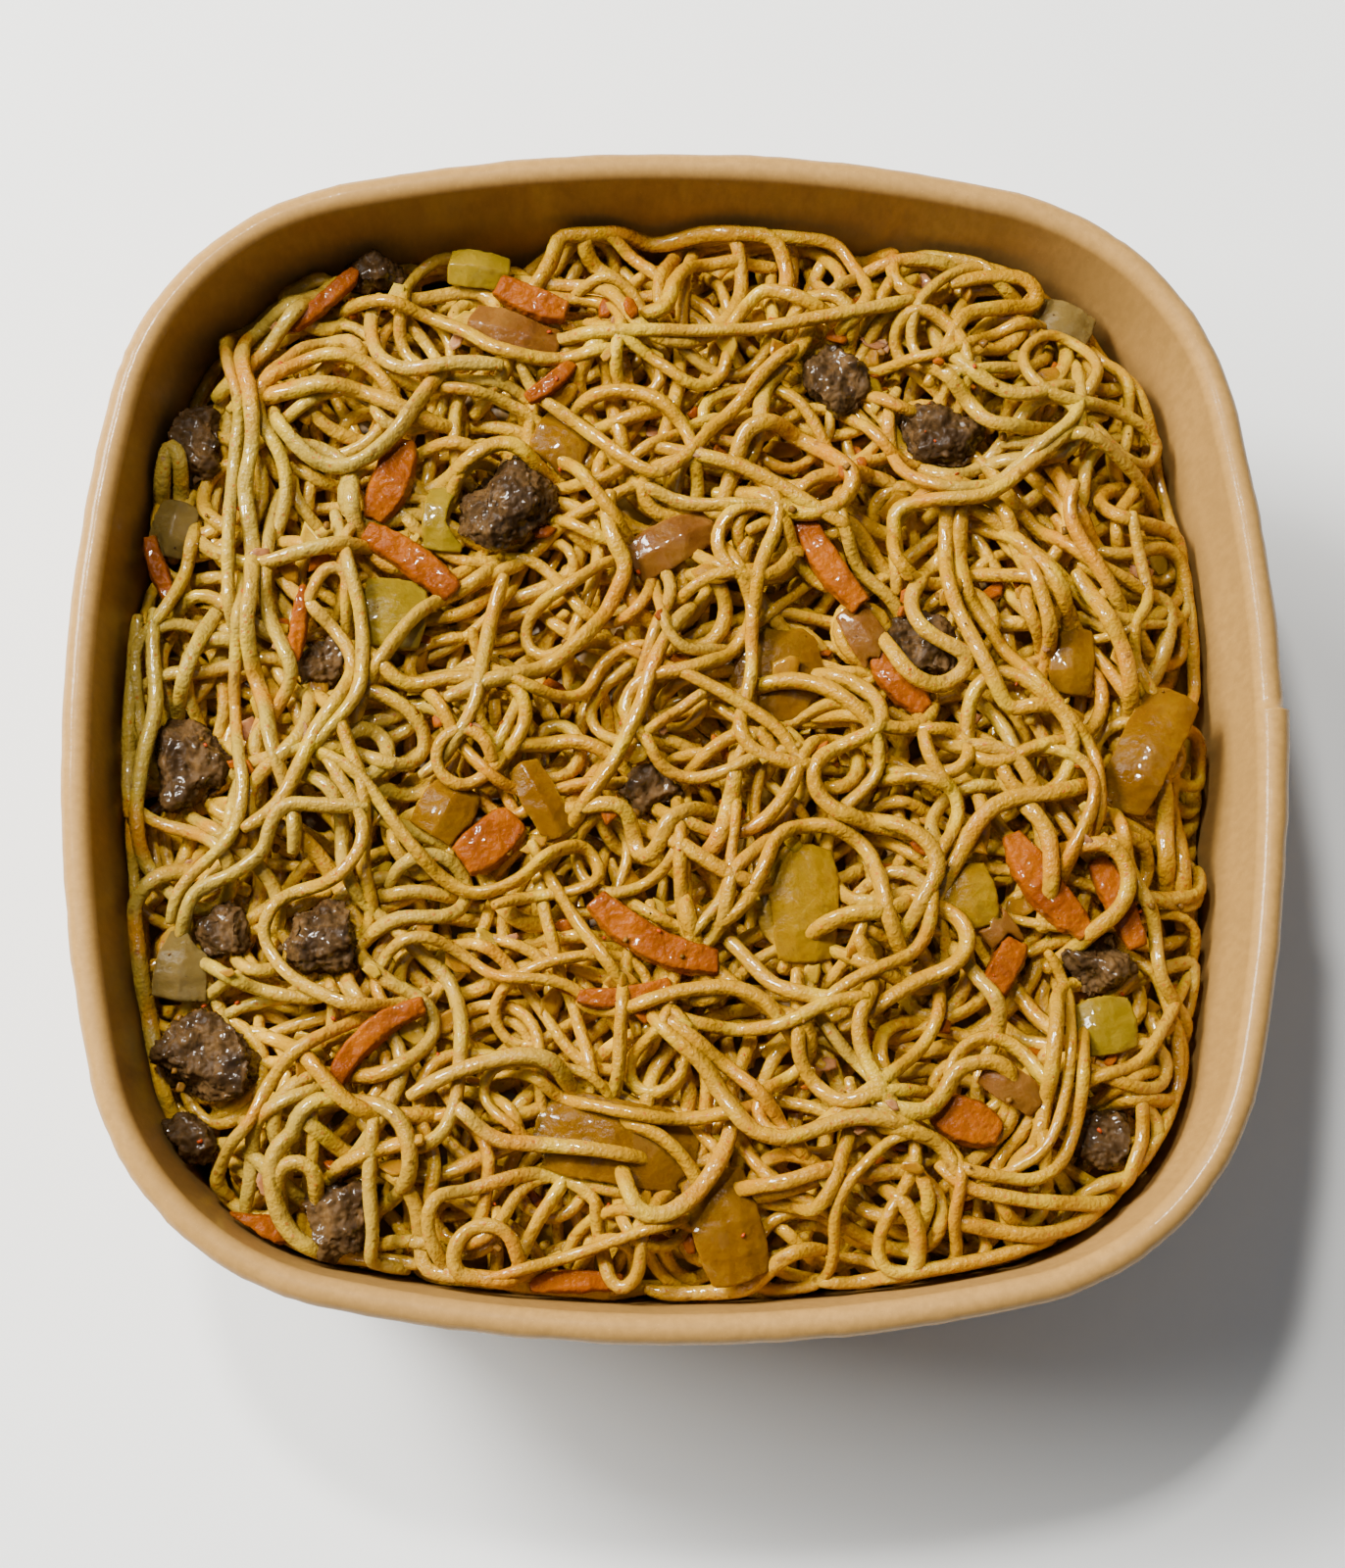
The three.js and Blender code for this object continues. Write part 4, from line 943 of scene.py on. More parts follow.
# Each line is one noodle on top of the heap: the x and y, in mm, of points along its way in plan.
# A backslash joins a line to the next.
HERO_ROUTES = """
-64.5 65.5 -65.5 60 -64.5 55 -63 50 -63.5 43 -64 35 -64 24
-58 65 -62 62 -63 57 -61.5 51 -61 44 -62 37 -61 30 -60.5 22 -61 17 -60.5 11 -58.5 5 -57 -2 -54.5 -9
-58.5 30 -58.5 19 -56 13 -54.5 9 -57 4 -59.5 0 -59 -4
-62.5 16 -63 6 -62 -2 -61 -8 -62.5 -15 -67.5 -19.5
-55 65 -58 61 -61 57
-48 66 -42 65.5 -37 64 -31 61.5 -26 58 -20 56.5 -14 57
-58 54 -52 57 -45 56 -42 53
-59 51 -52 52 -45 51.5 -40 49
-44 60 -43 57 -39 54.5 -33 55
-57 46 -52 41 -46 40 -40 45 -37 50 -35 53
-78 41 -75 45 -72 43 -72 36.5
-13 60 0 60.5 12 61 20 62.5 27.5 64
-6 58.5 -1 55 3 52.5 7 54.5 8 58
-4.5 63.5 -1 64.5 0 68.5 3 72.5 7.5 73.7
-13 68.5 -9.5 69.8 -6 67.5 -4.8 65
8.5 62 13 67.5 16 67 20 65.5
-17.5 49.5 -14 47 -9 42.5 -5 39.5 -2.5 38.5 2 41.5 6 46.5 10 50.5 13.5 55 18 58.5
17 57 13.5 53 12.5 47
9.2 42 10.5 45.5 14.5 46.8 19 45 24 41 26 38 23.5 34 18 32.8 13.5 35
17 35 20 38 24 39
3.5 41.5 10 39.5 14 37.5 18 35
-4 37 2 34.5 10 34 15 33.5
17 28.5 15.4 32.4 11.5 34 7.6 32.4 6 28.5 7.6 24.6 11.5 23 15.4 24.6 17 27
-14.5 40 -11.5 36 -8.5 32
-30 40.5 -26 43 -23 43 -20.5 41
30 72 35 73.5 45 72.5
44 77 46 74 47.5 71 50 69
33 56.5 38 57 43 59 48 62 56 64.5
41 60.5 43 64 46 65 50 66 54.5 67.5 52.5 70.8 49 71
60.5 52 62.5 56 60.5 60 57 62 54 61.5 51.5 58.5 51.5 55 \
54.5 51.5 59 50.3 65 50.2 69.5 48.5 72 46 70.5 43.5 67 43 64 45
61.5 62.5 65 59.5 67.5 55 67.5 50.5
59.5 56 59 49 52 42.5 46 37.5 38 37 33 40 31.5 46
57 45.5 50 39 45 35.5 36 35 32 34 32 30
39 55 43 50.5 46 46.8 51 46.5
41 57 44 54 48 51.5 52 51 56 52.5
30 51.5 34 49.5 40 50.5
56 45 59.5 45.5 63 44 67 41.5
-69.5 30 -70.5 25 -72.5 20 -75 16.5 -77 14 -77 8 -76.5 3
-80.5 11 -80.5 8 -79.3 4 -79.5 -1 -80 -4
-74.5 11 -74 4.5 -75.5 -2 -76.5 -10 -76 -15
-66.5 18 -68.5 13 -71 5
-52 21 -50 24.5 -47 24 -47 21
-51.5 18.5 -48.5 15.5 -46 11 -47 6.5 -50.5 1 -53 -4.5 -55 -8.5
-47 26 -45 18 -44.5 11 -45 6 -50 -0.5
-30 22.5 -34 20.5 -38 16.5 -43 9
-51.5 -10.5 -55 -10.5 -57 -13 -58 -17 -62 -20 -67.5 -22.5 -69 -26
-49 -4 -46 -9 -44 -13 -44.5 -17 -48 -21 -54 -22.5 \
-57 -25 -58 -28.5 -56.5 -31.5 -54 -34.5 -50 -37 -46 -38.8 -42 -38.8
-50 -3 -45 -6 -40 -12.5 -36.5 -17 -32 -21 -28 -22.5 \
-22 -20.5 -17 -16.8 -13 -15.5 -11 -18 -11 -20.5 -14 -22 -18 -22.5
-8.5 28 -7 25 -8.5 21 -11 16.5 -15 12.5 -20 9.5 -25 8
-25 9 -21 7 -16 5.8 -12.5 7 -11 10
-26.5 16 -27.5 10 -28.5 4 -30.5 0
-26 -3.5 -27.2 -0.6 -30 0.5 -32.8 -0.6 -34 -3.5 -32.8 -6.4 -30 -7.5 -27 -6
-2 13 -3.5 9 -5 4 -7 -0.5 -9 -4.5 -14 -11.5
4.5 6.5 -0.5 3 -4.5 0
-2 19 -1 15 1.5 12.5 5.5 13
9.5 24 11 20 11 14 11 10 10 5 9 1 11 -2.5 15 -4 19 -4.5
1 20.5 4.5 23 9 24
0 9.5 4 7.5 8.5 5 13 2
12.5 8 17 8.5 21.5 7 25 4.5
15.5 10.5 20 10 25 8.5 29 5 29 1 23.5 -1.5 20 -4 19.5 -7 22 -10.5 26 -12 30 -13
-4 -1 -2 -4.5 2 -6 7 -5.5 10 -4
8.5 -4 8 -8.5 6.5 -14
-13 -10.5 -7.5 -10.5 -6 -14 -5 -17.5 -3 -17 -1 -12.5 3 -10.5 6 -11
-5 -12.5 0.5 -16 6 -19.5
7 -25 8 -20 12 -16
12.5 -19 14.5 -14.5 19 -12.8 23.5 -13.5 27 -16 28.5 -20 29.5 -25
12.5 -23 13 -27 16 -30
20.5 -27.5 24 -26 28 -25.7
-19 -22 -18.5 -25 -17.5 -28.5
-16.5 -22.5 -13 -28 -8 -35
1 -18 1.5 -26 3 -30
39.5 30 39.5 23 42 16 45.5 8 48 4 50.5 4.5
41.5 30 42 23 46 16 51 9 55.5 3.5 59.5 -2 60.5 -8.5
49 30 54 24.5 56 20 58 15
51 26 53 19.5 54 14 53 10
35.5 23.5 34 20.5 35 16.5 39 13.5 42 12 42 10.5 38 7.7 34 8.8 31 13
36.5 1 40.5 0.8 42 -2 40.5 -5 37 -5.5
34.5 -6 39 -7.5 40.5 -10 39.5 -13
42 -1.5 46 -2 49 -4 51 -8
49 -3 51.5 -1.8 55.5 -2.5 59 -5 59.5 -8.5 58 -13 55.5 -18 54 -22.5
58 -7 54 -8.5 49 -9 45 -10.5 42.5 -13 40 -17.5 38.5 -20
69.5 22 72 21.5 72.3 18.5 70.5 12
68 26 68.8 21 66.5 17 67 12 69 8
58 30 61 25 64 20
62 18 64.5 13 65.5 7.5
70 -5 70.5 -10 70.5 -15
72.5 -10 73 -14 73.2 -18
73 -22 77 -20.5 80 -19.5
63.5 -12.5 65 -20 68 -26 68.8 -34 72 -38.5
57.5 -16 61.5 -16 64 -20 63 -24.5 59 -28
50 -10.5 52.5 -14 53 -19.5
30 -12.5 35 -15 37 -19 35.5 -22.5
-49 -43 -53 -45.5 -57 -50.5 -59 -55 -62 -58 -65 -63.5
-51.5 -46 -48.5 -49.5 -45 -53 -40.5 -54
-50.5 -50.5 -55 -52.5 -58.5 -55 -59 -59.5
-42 -55.5 -42.5 -64 -42 -70 -43 -76
-53.5 -57 -55.5 -59 -56 -63 -54.5 -68.5 -51 -72 -44 -73
-55 -65 -55 -61.5 -52 -60.5 -50 -62 -50 -64.5
-65 -33 -62 -35 -55.5 -37
-43 -59.5 -47.5 -61.5 -49.5 -64
-30 -53.5 -25 -57.5 -20 -58 -12 -58.8 -2 -60.3
-30 -48 -26 -46.8 -21 -46 -17 -47 -15.5 -49
-19 -49 -16.5 -51 -10 -53 -2 -54.5 6 -54 10 -53
-6 -55.5 -3 -56.5 1 -60 3 -63
5.5 -61 3.5 -64 1.5 -66 -2 -68 -5.5 -67.5 -6.5 -65
-21 -75 -14 -73 -7.5 -71 -1 -69
-17 -62 -20 -61.7 -25 -63 -30 -64.5 -33 -65 -34.5 -68 -33.5 -72.5 -31 -75.5
-22 -73.5 -23.3 -70.3 -26.5 -69 -29.7 -70.3 -31 -73.5 -29.7 -76.7 -26.5 -78 -23 -76.5
-10 -73.5 -9 -77 -7.5 -78 -5.5 -76 -5 -72.5
4 -78.5 10 -77.5 13.5 -74.5
-7.5 -38 -7.8 -42 -8 -47
-6 -39 0.5 -37 8 -36.5 12.5 -38.5 15 -41.5
-1 -41 4 -45 9 -49 13 -53 14.5 -55.5
-0.5 -43.5 3.5 -47 7 -52.5 10.5 -56.5 15 -57.5 20 -56 25 -54.5 30 -55
4 -41.5 10 -42 15 -41.5 19 -39.5
17 -41.5 17 -46 19.5 -50 23 -52.5 27 -51.5
8.5 -30 11 -33 14 -36 18 -37.2
27 -37 25.5 -40.5 25.5 -44 27.5 -49 30 -53
24 -56.5 22.5 -61 21 -65 18.5 -67.5 17 -66.5
10.5 -64 15 -63.5 19.5 -62
21 -76.5 25 -77 29 -77
30 -37.5 34 -35 39 -33 41 -30 39.5 -26 35 -24
40 -31 43 -35 45.5 -39 45 -43 43.5 -46
31 -53.5 34 -54 37 -51.5 39 -48 43 -46.8 46 -47.5 47 -50.5
30 -56 34 -57 37 -58.5 38 -60.5
53.5 -38 52.5 -46 51.5 -52.5
55.5 -38 55 -46 54 -52 51 -59 47 -61.5
57 -44 56 -54 53.5 -60.5 50 -63 43 -62.5
59.5 -48.5 65 -46.5 70 -39.5
63 -49.5 67 -47.5 70 -47.5
71.5 -41.5 71.5 -47 71 -53.5
70.5 -32 75 -31 77.5 -33 76 -37 73.5 -38.5
65.5 -52.5 65.5 -57 64 -60.5 63.5 -63.5
55.5 -61 60 -63.5 64.5 -65.5
43 -65 50 -66 59.5 -66
40.5 -69 50 -70.5 56 -69 62 -67
33 -61 35 -66 34 -69
30 -65 32.5 -67.5 33.5 -72 33 -77
"""


def hero_routes():
    """The points of each noodle on top of the heap."""
    for line in HERO_ROUTES.strip().split("\n"):
        numbers = [float(n) for n in line.split()]
        yield list(zip(numbers[::2], numbers[1::2]))


def piece_nodes(kinds=("beef", "carrot", "onion")):
    """Names of the solids that lie in the noodles."""
    return sorted(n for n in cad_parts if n.split("_")[0] in kinds)


def blurred(grid):
    """The grid averaged over three cells each way."""
    grid[1:-1] = (grid[:-2] + grid[1:-1] + grid[2:]) / 3
    grid[:, 1:-1] = (grid[:, :-2] + grid[:, 1:-1] + grid[:, 2:]) / 3
    return grid


def deep_strands(noodles, out, rng, need, ground, limit, goal):
    """Noodles under the ones on top: each takes the route that best fills what is still low."""
    thinnest, thickest = 0.84, 1.02  # in shares of the usual thickness
    shortest, longest = 70, 150
    further_in = 7  # how far some routes keep from the wall beyond what they need
    sketch = Pile(ground.copy(), limit)
    strands = []
    for k in range(noodles.deep_count):
        radius = noodles.radius * rng.uniform(thinnest, thickest)
        excess = blurred(sketch.height - goal)
        margin = need + further_in * rng.random()
        routes = wander(rng, out, margin, rng.uniform(shortest, longest), excess)
        over = at_cells(excess, routes.reshape(-1, 2)).reshape(TRIES, -1)
        costs = over.mean(1) + 2 * (np.clip(over, 0, None) ** 2).mean(1)
        route = keep_in(routes[int(np.argmin(costs))], out, need)
        sketch.stamp(route, settle(sketch.rest(route, radius * GIVE)), radius * GIVE)
        strands.append(Strand(route, radius, (k + 0.5) / noodles.deep_count, rng.random()))
    return strands


def make_core(out, noodles, surface, material):
    """The closed core under the loose noodles, inside the wall; its top follows the heap."""
    floor = 6.3  # height of the core's underside, just over the base
    side = ((floor, 0.3, floor), (30, 0.4, 30.0), (38, 0.8, 36.0))  # (wall's height, gap to it, height)
    below = 0.4  # how far the top lies under the loose noodles
    shares = (0.96, 0.9, 0.82, 0.72, 0.6, 0.45, 0.3, 0.15)  # rings of the top, in shares of the side
    columns = out.angles(10, 8)
    n = len(columns)
    verts = []
    for level, gap, z in side:
        verts += [(*out.point(c, out.wall_inset(level) + gap), z) for c in columns]
    edge = verts[-n:]
    for share in shares:
        for x, y in [(x * share, y * share) for x, y, _ in edge]:
            verts.append((x, y, float(surface(np.array(x), np.array(y))) - noodles.depth - below))
    verts += [(0, 0, noodles.top - noodles.depth), (0, 0, floor)]
    layers = len(side) + len(shares)
    faces = []
    for r in range(layers - 1):
        faces += band(r * n, (r + 1) * n, n)
    faces += fan((layers - 1) * n, len(verts) - 2, n)
    faces += [triangle[::-1] for triangle in fan(0, len(verts) - 1, n)]
    return new_object("noodle_core", verts, faces, material)


def make_noodles(bowl, noodles, material, shaded_core_finish):
    """Lays the deep noodles, then the solids of beef, carrot and onion, then the noodles on top."""
    gap_under, gap_over = 0.1, 0.15  # between a solid and the noodles below and above it
    level, wall_gap = 46, 0.6  # noodles keep this far in from the wall's face at this height
    thinnest, thickest = 0.84, 1.08  # top noodles, in shares of the usual thickness
    earliest, spread = 1.15, 0.3  # times at which the top noodles are laid
    out = Outline(bowl)
    rng = np.random.default_rng(noodles.seed)
    grid_y, grid_x = np.mgrid[0:GRID, 0:GRID] * CELL - REACH

    def surface(x, y):
        return heap_surface(x, y, out, noodles)

    top = surface(grid_x, grid_y)
    ground = top - noodles.depth
    pile = Pile(ground.copy(), top + HEADROOM)
    for name in piece_nodes():
        highest, lowest = footprint(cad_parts[name])
        pile.roof = np.minimum(pile.roof, lowest - gap_under)
        pile.blocks = np.maximum(pile.blocks, highest)

    def add_pieces():
        """Adds the solids to the pile, and lifts the roof that they were."""
        pile.height = np.maximum(pile.height, pile.blocks + gap_over)
        pile.roof[:] = FAR

    need = out.wall_inset(level) + wall_gap + noodles.radius
    heroes = [keep_in(prolong(smooth_route(route), rng), out, need) for route in hero_routes()]
    goal = np.minimum(top - UNDER, pile.roof)
    strands = deep_strands(noodles, out, rng, need, ground, pile.limit, goal)
    deep = len(strands)
    for xy in heroes:
        radius = noodles.radius * rng.uniform(thinnest, thickest)
        time = earliest + spread * rng.random()
        strands.append(Strand(xy, radius, time, rng.random() * 0.8, dip=0.75))
    lay(strands, pile, add_pieces)
    # Name, strands, sides of each noodle, and the distance between its rings.
    layers = (
        ("noodles_deep", strands[: deep // 2], 8, 1.7),
        ("noodles_middle", strands[deep // 2 : deep], 8, 1.5),
        ("noodles_top", strands[deep:], 12, 1.0),
    )
    objects = [noodle_object(*layer, material, rng, surface, pile.height) for layer in layers]
    core = make_core(out, noodles, surface, shaded_core_finish)
    for obj in (core, *objects):
        own(obj, "noodle", "noodle_heap")
    return pile


# ---------------------------------------------------------------- beef, carrot and onion
def detailed_copy(node, name, voxel, smoothing):
    """A fine copy of a solid: rebuilt at a small voxel size in mm and smoothed."""
    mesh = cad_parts[node].data.copy()
    mesh.materials.clear()
    obj = bpy.data.objects.new(name, mesh)
    bpy.context.scene.collection.objects.link(obj)
    remesh = obj.modifiers.new("remesh", "REMESH")
    remesh.mode = "VOXEL"
    remesh.voxel_size = voxel * MM
    soften = obj.modifiers.new("smooth", "SMOOTH")
    soften.iterations = smoothing
    soften.factor = 0.5
    bpy.context.view_layer.update()
    fine = bpy.data.meshes.new_from_object(obj.evaluated_get(bpy.context.evaluated_depsgraph_get()))
    obj.modifiers.clear()
    obj.data = fine
    obj.data.name = name
    obj.data.shade_smooth()
    return obj


def hew(obj, rng):
    """Cuts nearly flat faces into a round piece, as a knife does."""
    cuts = 9
    steepness = (1, 1, 0.8)
    nearest, furthest = 0.64, 0.84  # a cut's distance from the middle, in shares of the piece's reach
    flatness = 0.85
    mesh = obj.data
    co = np.empty(len(mesh.vertices) * 3)
    mesh.vertices.foreach_get("co", co)
    co = co.reshape(-1, 3)
    centre = (co.min(0) + co.max(0)) / 2
    for _ in range(cuts):
        face = rng.normal(size=3) * steepness
        face /= np.linalg.norm(face)
        reach = (co - centre) @ face
        over = np.clip(reach - rng.uniform(nearest, furthest) * reach.max(), 0, None)
        co = co - flatness * over[:, None] * face
    mesh.vertices.foreach_set("co", co.ravel())
    mesh.update()


def layered(point, seed, layers):
    """A sum of noises; layers are (scale per mm, height in mm)."""
    return sum(height * noise.noise(point * f + Vector((seed, f, 0))) for f, height in layers)


def crag(point, seed, turn):
    """Relief of fried beef in mm: lumps, fibres that run one way, and shallow ridges."""
    local = turn @ point
    fibre = Vector((local.x * 0.35, local.y, local.z))
    lump = noise.noise(point * 0.28 + Vector((seed, 0, 0)))
    rough = 0
    for f, where in ((0.5, fibre), (1.0, point), (1.9, point), (3.3, point)):
        rough += noise.noise(where * f + Vector((seed, f, 0))) / f**0.55
    ridge = 1 - 2 * abs(noise.noise(fibre * 0.6 + Vector((seed, 2 * seed, 0))))
    return 1.0 * lump + 0.46 * rough + 0.08 * ridge - 0.1


def finish_piece(obj, node, material, relief):
    """Moves each point along its normal by relief(point) in mm, and puts the piece in its solid's stead."""
    mesh = obj.data
    normals = [v.normal.copy() for v in mesh.vertices]
    for vertex, normal in zip(mesh.vertices, normals):
        vertex.co += normal * (relief(vertex.co / MM) * MM)
    mesh.update()
    mesh.materials.append(material)
    own(obj, node.split("_")[0], node)


def make_beef(material):
    """The chunks of beef, hewn and craggy."""
    rng = np.random.default_rng(31)
    for k, node in enumerate(piece_nodes(("beef",))):
        obj = detailed_copy(node, f"beef_chunk_{k + 1:02d}", 0.30, 3)
        hew(obj, rng)
        turn = Matrix.Rotation(1.3 * k, 3, "Z")
        finish_piece(obj, node, material, lambda point, k=k, turn=turn: crag(point, k * 7.3, turn))


CARROT_RELIEF = ((0.35, 0.25), (0.8, 0.16), (1.9, 0.09))
ONION_RELIEF = ((0.2, 0.3), (0.5, 0.12), (1.2, 0.05))


def make_carrots(material):
    """The strips of carrot."""
    for k, node in enumerate(piece_nodes(("carrot",))):
        obj = detailed_copy(node, f"carrot_shred_{k + 1:02d}", 0.24, 8)
        finish_piece(obj, node, material, lambda point, k=k: layered(point, k * 5.1, CARROT_RELIEF))


# A colour, the colour it turns to, and the numbers of the pieces that have it.
ONION_TINTS = {
    "amber": ((0.115, 0.045, 0.0003), (0.165, 0.074, 0.001), (1, 3, 4, 13, 14, 16, 17, 21)),
    "yellow": ((0.18, 0.088, 0.0006), (0.22, 0.122, 0.002), (2, 5)),
    "green": ((0.15, 0.093, 0.002), (0.21, 0.138, 0.006), (6, 7, 8, 12)),
    "pink": ((0.105, 0.036, 0.006), (0.155, 0.066, 0.010), (9, 15, 18, 19, 22)),
    "clear": ((0.10, 0.064, 0.014), (0.16, 0.105, 0.027), (10, 11, 20)),
}


def make_onions():
    """The petals and cut pieces of onion and pepper."""
    finish = {}
    for name, (inner, edge, numbers) in ONION_TINTS.items():
        finish.update(dict.fromkeys(numbers, onion_material(f"onion_{name}", inner, edge)))
    for k, node in enumerate(piece_nodes(("onion",))):
        obj = detailed_copy(node, f"onion_layer_{k + 1:02d}", 0.22, 13)
        finish_piece(obj, node, finish[k + 1], lambda point, k=k: layered(point, k * 3.7, ONION_RELIEF))


# ---------------------------------------------------------------- flakes and crumbs
def scatter(name, material, pile, out, rng, count, sizes, shape):
    """Small rough bits lying on the noodles: shape is their length, width and height over their size."""
    half, wall_gap = 76, 10
    fine_above = 0.8  # bits larger than this have a finer mesh
    verts, faces = [], []
    placed = 0
    while placed < count:
        x, y = rng.uniform(-half, half, 2)
        if out.inset(np.array(x), np.array(y)) < wall_gap:
            continue
        placed += 1
        size = 0.8 * rng.uniform(*sizes) ** 1.5 / sizes[1] ** 0.5
        z = pile.around(x, y, max(1, int(size * 0.6 / CELL))) + size * 0.1
        turn = Matrix.Rotation(rng.uniform(0, 6.28), 3, "Z") @ Matrix.Rotation(rng.normal(0, 0.35), 3, "X")
        ball = bmesh.new()
        bmesh.ops.create_icosphere(ball, subdivisions=2 if size > fine_above else 1, radius=1)
        start = len(verts)
        for v in ball.verts:
            jitter = 1 + 0.5 * noise.noise(v.co * 1.4 + Vector((x, y, 0)))
            blunt = [math.copysign(abs(c) ** 0.6, c) for c in v.co]
            p = turn @ Vector([blunt[k] * size * shape[k] for k in range(3)]) * jitter
            verts.append((x + p.x, y + p.y, z + p.z))
        faces += [[start + v.index for v in f.verts] for f in ball.faces]
        ball.free()
    own(new_object(name, verts, faces, material), "noodle")


def shard(rng, size, thick):
    """(points, faces) of a small cut sheet with five to seven corners, slightly bent."""
    n = int(rng.integers(5, 8))
    turn = (np.arange(n) + rng.uniform(-0.3, 0.3, n)) * FULL_TURN / n
    reach = size * rng.uniform(0.38, 0.58, n)
    bend = rng.uniform(-0.12, 0.12)
    long, wide = 1.25, 0.75
    points, faces = [], []
    for side in (1, -1):
        start = len(points)
        points.append((0, 0, side * thick / 2))
        for share in (0.65, 1.0):
            x = long * share * reach * np.cos(turn)
            y = wide * share * reach * np.sin(turn)
            points += [(a, b, side * thick * (0.75 - 0.35 * share) + bend * a * a) for a, b in zip(x, y)]
        for i in range(n):
            j = (i + 1) % n
            inner = start + 1
            outer = start + 1 + n
            for face in ((start, inner + i, inner + j), (inner + i, outer + i, outer + j, inner + j)):
                faces.append(face[::side])
    faces += [quad[::-1] for quad in band(1 + n, 2 + 3 * n, n)]
    return points, faces


def scatter_shards(name, material, pile, out, rng, count, sizes, thick):
    """Small cut sheets caught between the noodles."""
    half, wall_gap = 74, 11

    def taken(x, y):
        """Whether a place is too near the wall, or over a piece of beef, carrot or onion."""
        near_wall = out.inset(np.array(x), np.array(y)) < wall_gap
        return near_wall or at_cells(pile.blocks, np.array([[x, y]]))[0] > 0

    verts, faces = [], []
    for _ in range(count):
        x, y = rng.uniform(-half, half, 2)
        while taken(x, y):
            x, y = rng.uniform(-half, half, 2)
        size = rng.uniform(*sizes)
        z = pile.around(x, y, max(1, int(size * 0.5 / CELL))) + rng.uniform(-0.6, 0.3)
        turn = Matrix.Rotation(rng.uniform(0, 6.28), 3, "Z") @ Matrix.Rotation(rng.normal(0, 0.4), 3, "X")
        points, sides = shard(rng, size, thick)
        faces += [[len(verts) + k for k in face] for face in sides]
        verts += [tuple(turn @ Vector(point) + Vector((x, y, z))) for point in points]
    own(new_object(name, verts, faces, material), "noodle")


# Name, colour, number, (least, greatest) size in mm, and length, width and height over the size.
FLAKES = (
    ("chilli_flake", (0.36, 0.045, 0.004), 130, (0.35, 0.9), (0.62, 0.42, 0.2)),
    ("pepper_crumb", (0.050, 0.022, 0.006), 150, (0.18, 0.38), (0.6, 0.5, 0.3)),
    ("fried_crumb", (0.17, 0.075, 0.010), 100, (0.4, 1.5), (0.62, 0.5, 0.4)),
)
# Name, two colours, number, and (least, greatest) size in mm.
ONION_CRUMBS = (
    ("amber", (0.19, 0.075, 0.001), (0.28, 0.13, 0.003), 90, (1.6, 5.0)),
    ("yellow", (0.30, 0.16, 0.002), (0.38, 0.23, 0.01), 60, (1.6, 4.4)),
    ("pink", (0.19, 0.065, 0.02), (0.30, 0.14, 0.05), 35, (1.4, 3.6)),
)


def make_flakes(bowl, noodles, pieces, pile):
    """Chilli flakes, pepper, and crumbs of the beef, carrot and onion, lying on the noodles."""
    out = Outline(bowl)
    rng = np.random.default_rng(noodles.seed + 40)
    for name, colour, count, sizes, shape in FLAKES:
        scatter(name + "s", flake_material(name, colour), pile, out, rng, count, sizes, shape)
    orange = carrot_material(tuple(pieces.carrot), "carrot_crumb")
    scatter_shards("carrot_crumbs", orange, pile, out, rng, 75, (1.2, 3.6), 0.8)
    for name, colour, edge, count, sizes in ONION_CRUMBS:
        finish = onion_material(f"onion_crumb_{name}", colour, edge)
        scatter_shards(f"{name}_crumbs", finish, pile, out, rng, count, sizes, 0.45)


# ---------------------------------------------------------------- camera, light and floor
FOCAL_LENGTH = 3500  # in pixels
IMAGE_HEIGHT = 1600  # in pixels
SENSOR = 36  # in mm, along the image's height
EYE = (-16.1, -113.4, 468.9)  # from the middle of the roll, in mm
RIGHT = (0.9995, -0.0041, 0.0321)  # the image's own directions
UP = (-0.003, 0.9758, 0.2187)
AIM = (0, 0, 0.03)  # where the lights point, in metres
WARM = (1.0, 0.97, 0.92)
# Name, place and size in metres, share of the key power, and colour.
LIGHTS = (
    ("key", (-0.95, 0.42, 0.85), (1.0, 0.9), 4.9, (1.0, 0.97, 0.91)),
    ("window", (-0.78, 0.46, 0.98), (0.32, 0.32), 3.0, WARM),
    ("fill", (0.15, -0.1, 1.6), (0.8, 0.8), 0.06, (1, 1, 1)),
    ("sparkle", (-0.30, 0.52, 1.30), (0.12, 0.12), 1.9, WARM),
)
SKY = (0.90, 0.97, 1.08, 1)
SKY_STRENGTH = 0.15
FLOOR_HALF = 3000  # half the floor's width, in mm


def add_light(name, place_m, size, power, colour):
    """A flat light that points at the food; the key light alone leaves no glint."""
    light = bpy.data.lights.new(name, "AREA")
    light.shape = "RECTANGLE"
    light.size, light.size_y = size
    light.energy = power
    light.color = colour
    obj = bpy.data.objects.new(name, light)
    obj.location = place_m
    obj.rotation_euler = (Vector(AIM) - Vector(place_m)).to_track_quat("-Z", "Y").to_euler()
    obj.visible_glossy = name != "key"
    bpy.context.scene.collection.objects.link(obj)


def add_camera(bowl):
    """The camera, a little in front of the bowl and nearly straight above it."""
    camera = bpy.data.cameras.new("camera")
    camera.sensor_fit = "AUTO"
    camera.sensor_width = SENSOR
    camera.lens = FOCAL_LENGTH / IMAGE_HEIGHT * SENSOR
    camera.clip_start = 0.01
    right = Vector(RIGHT)
    back = right.cross(Vector(UP)).normalized()
    up = back.cross(right).normalized()
    turn = Matrix((right, up, back)).transposed().to_4x4()
    eye = Vector((EYE[0], EYE[1], EYE[2] + bowl.height - bowl.roll)) * MM
    obj = bpy.data.objects.new("camera", camera)
    obj.matrix_world = Matrix.Translation(eye) @ turn
    bpy.context.scene.collection.objects.link(obj)
    bpy.context.scene.camera = obj


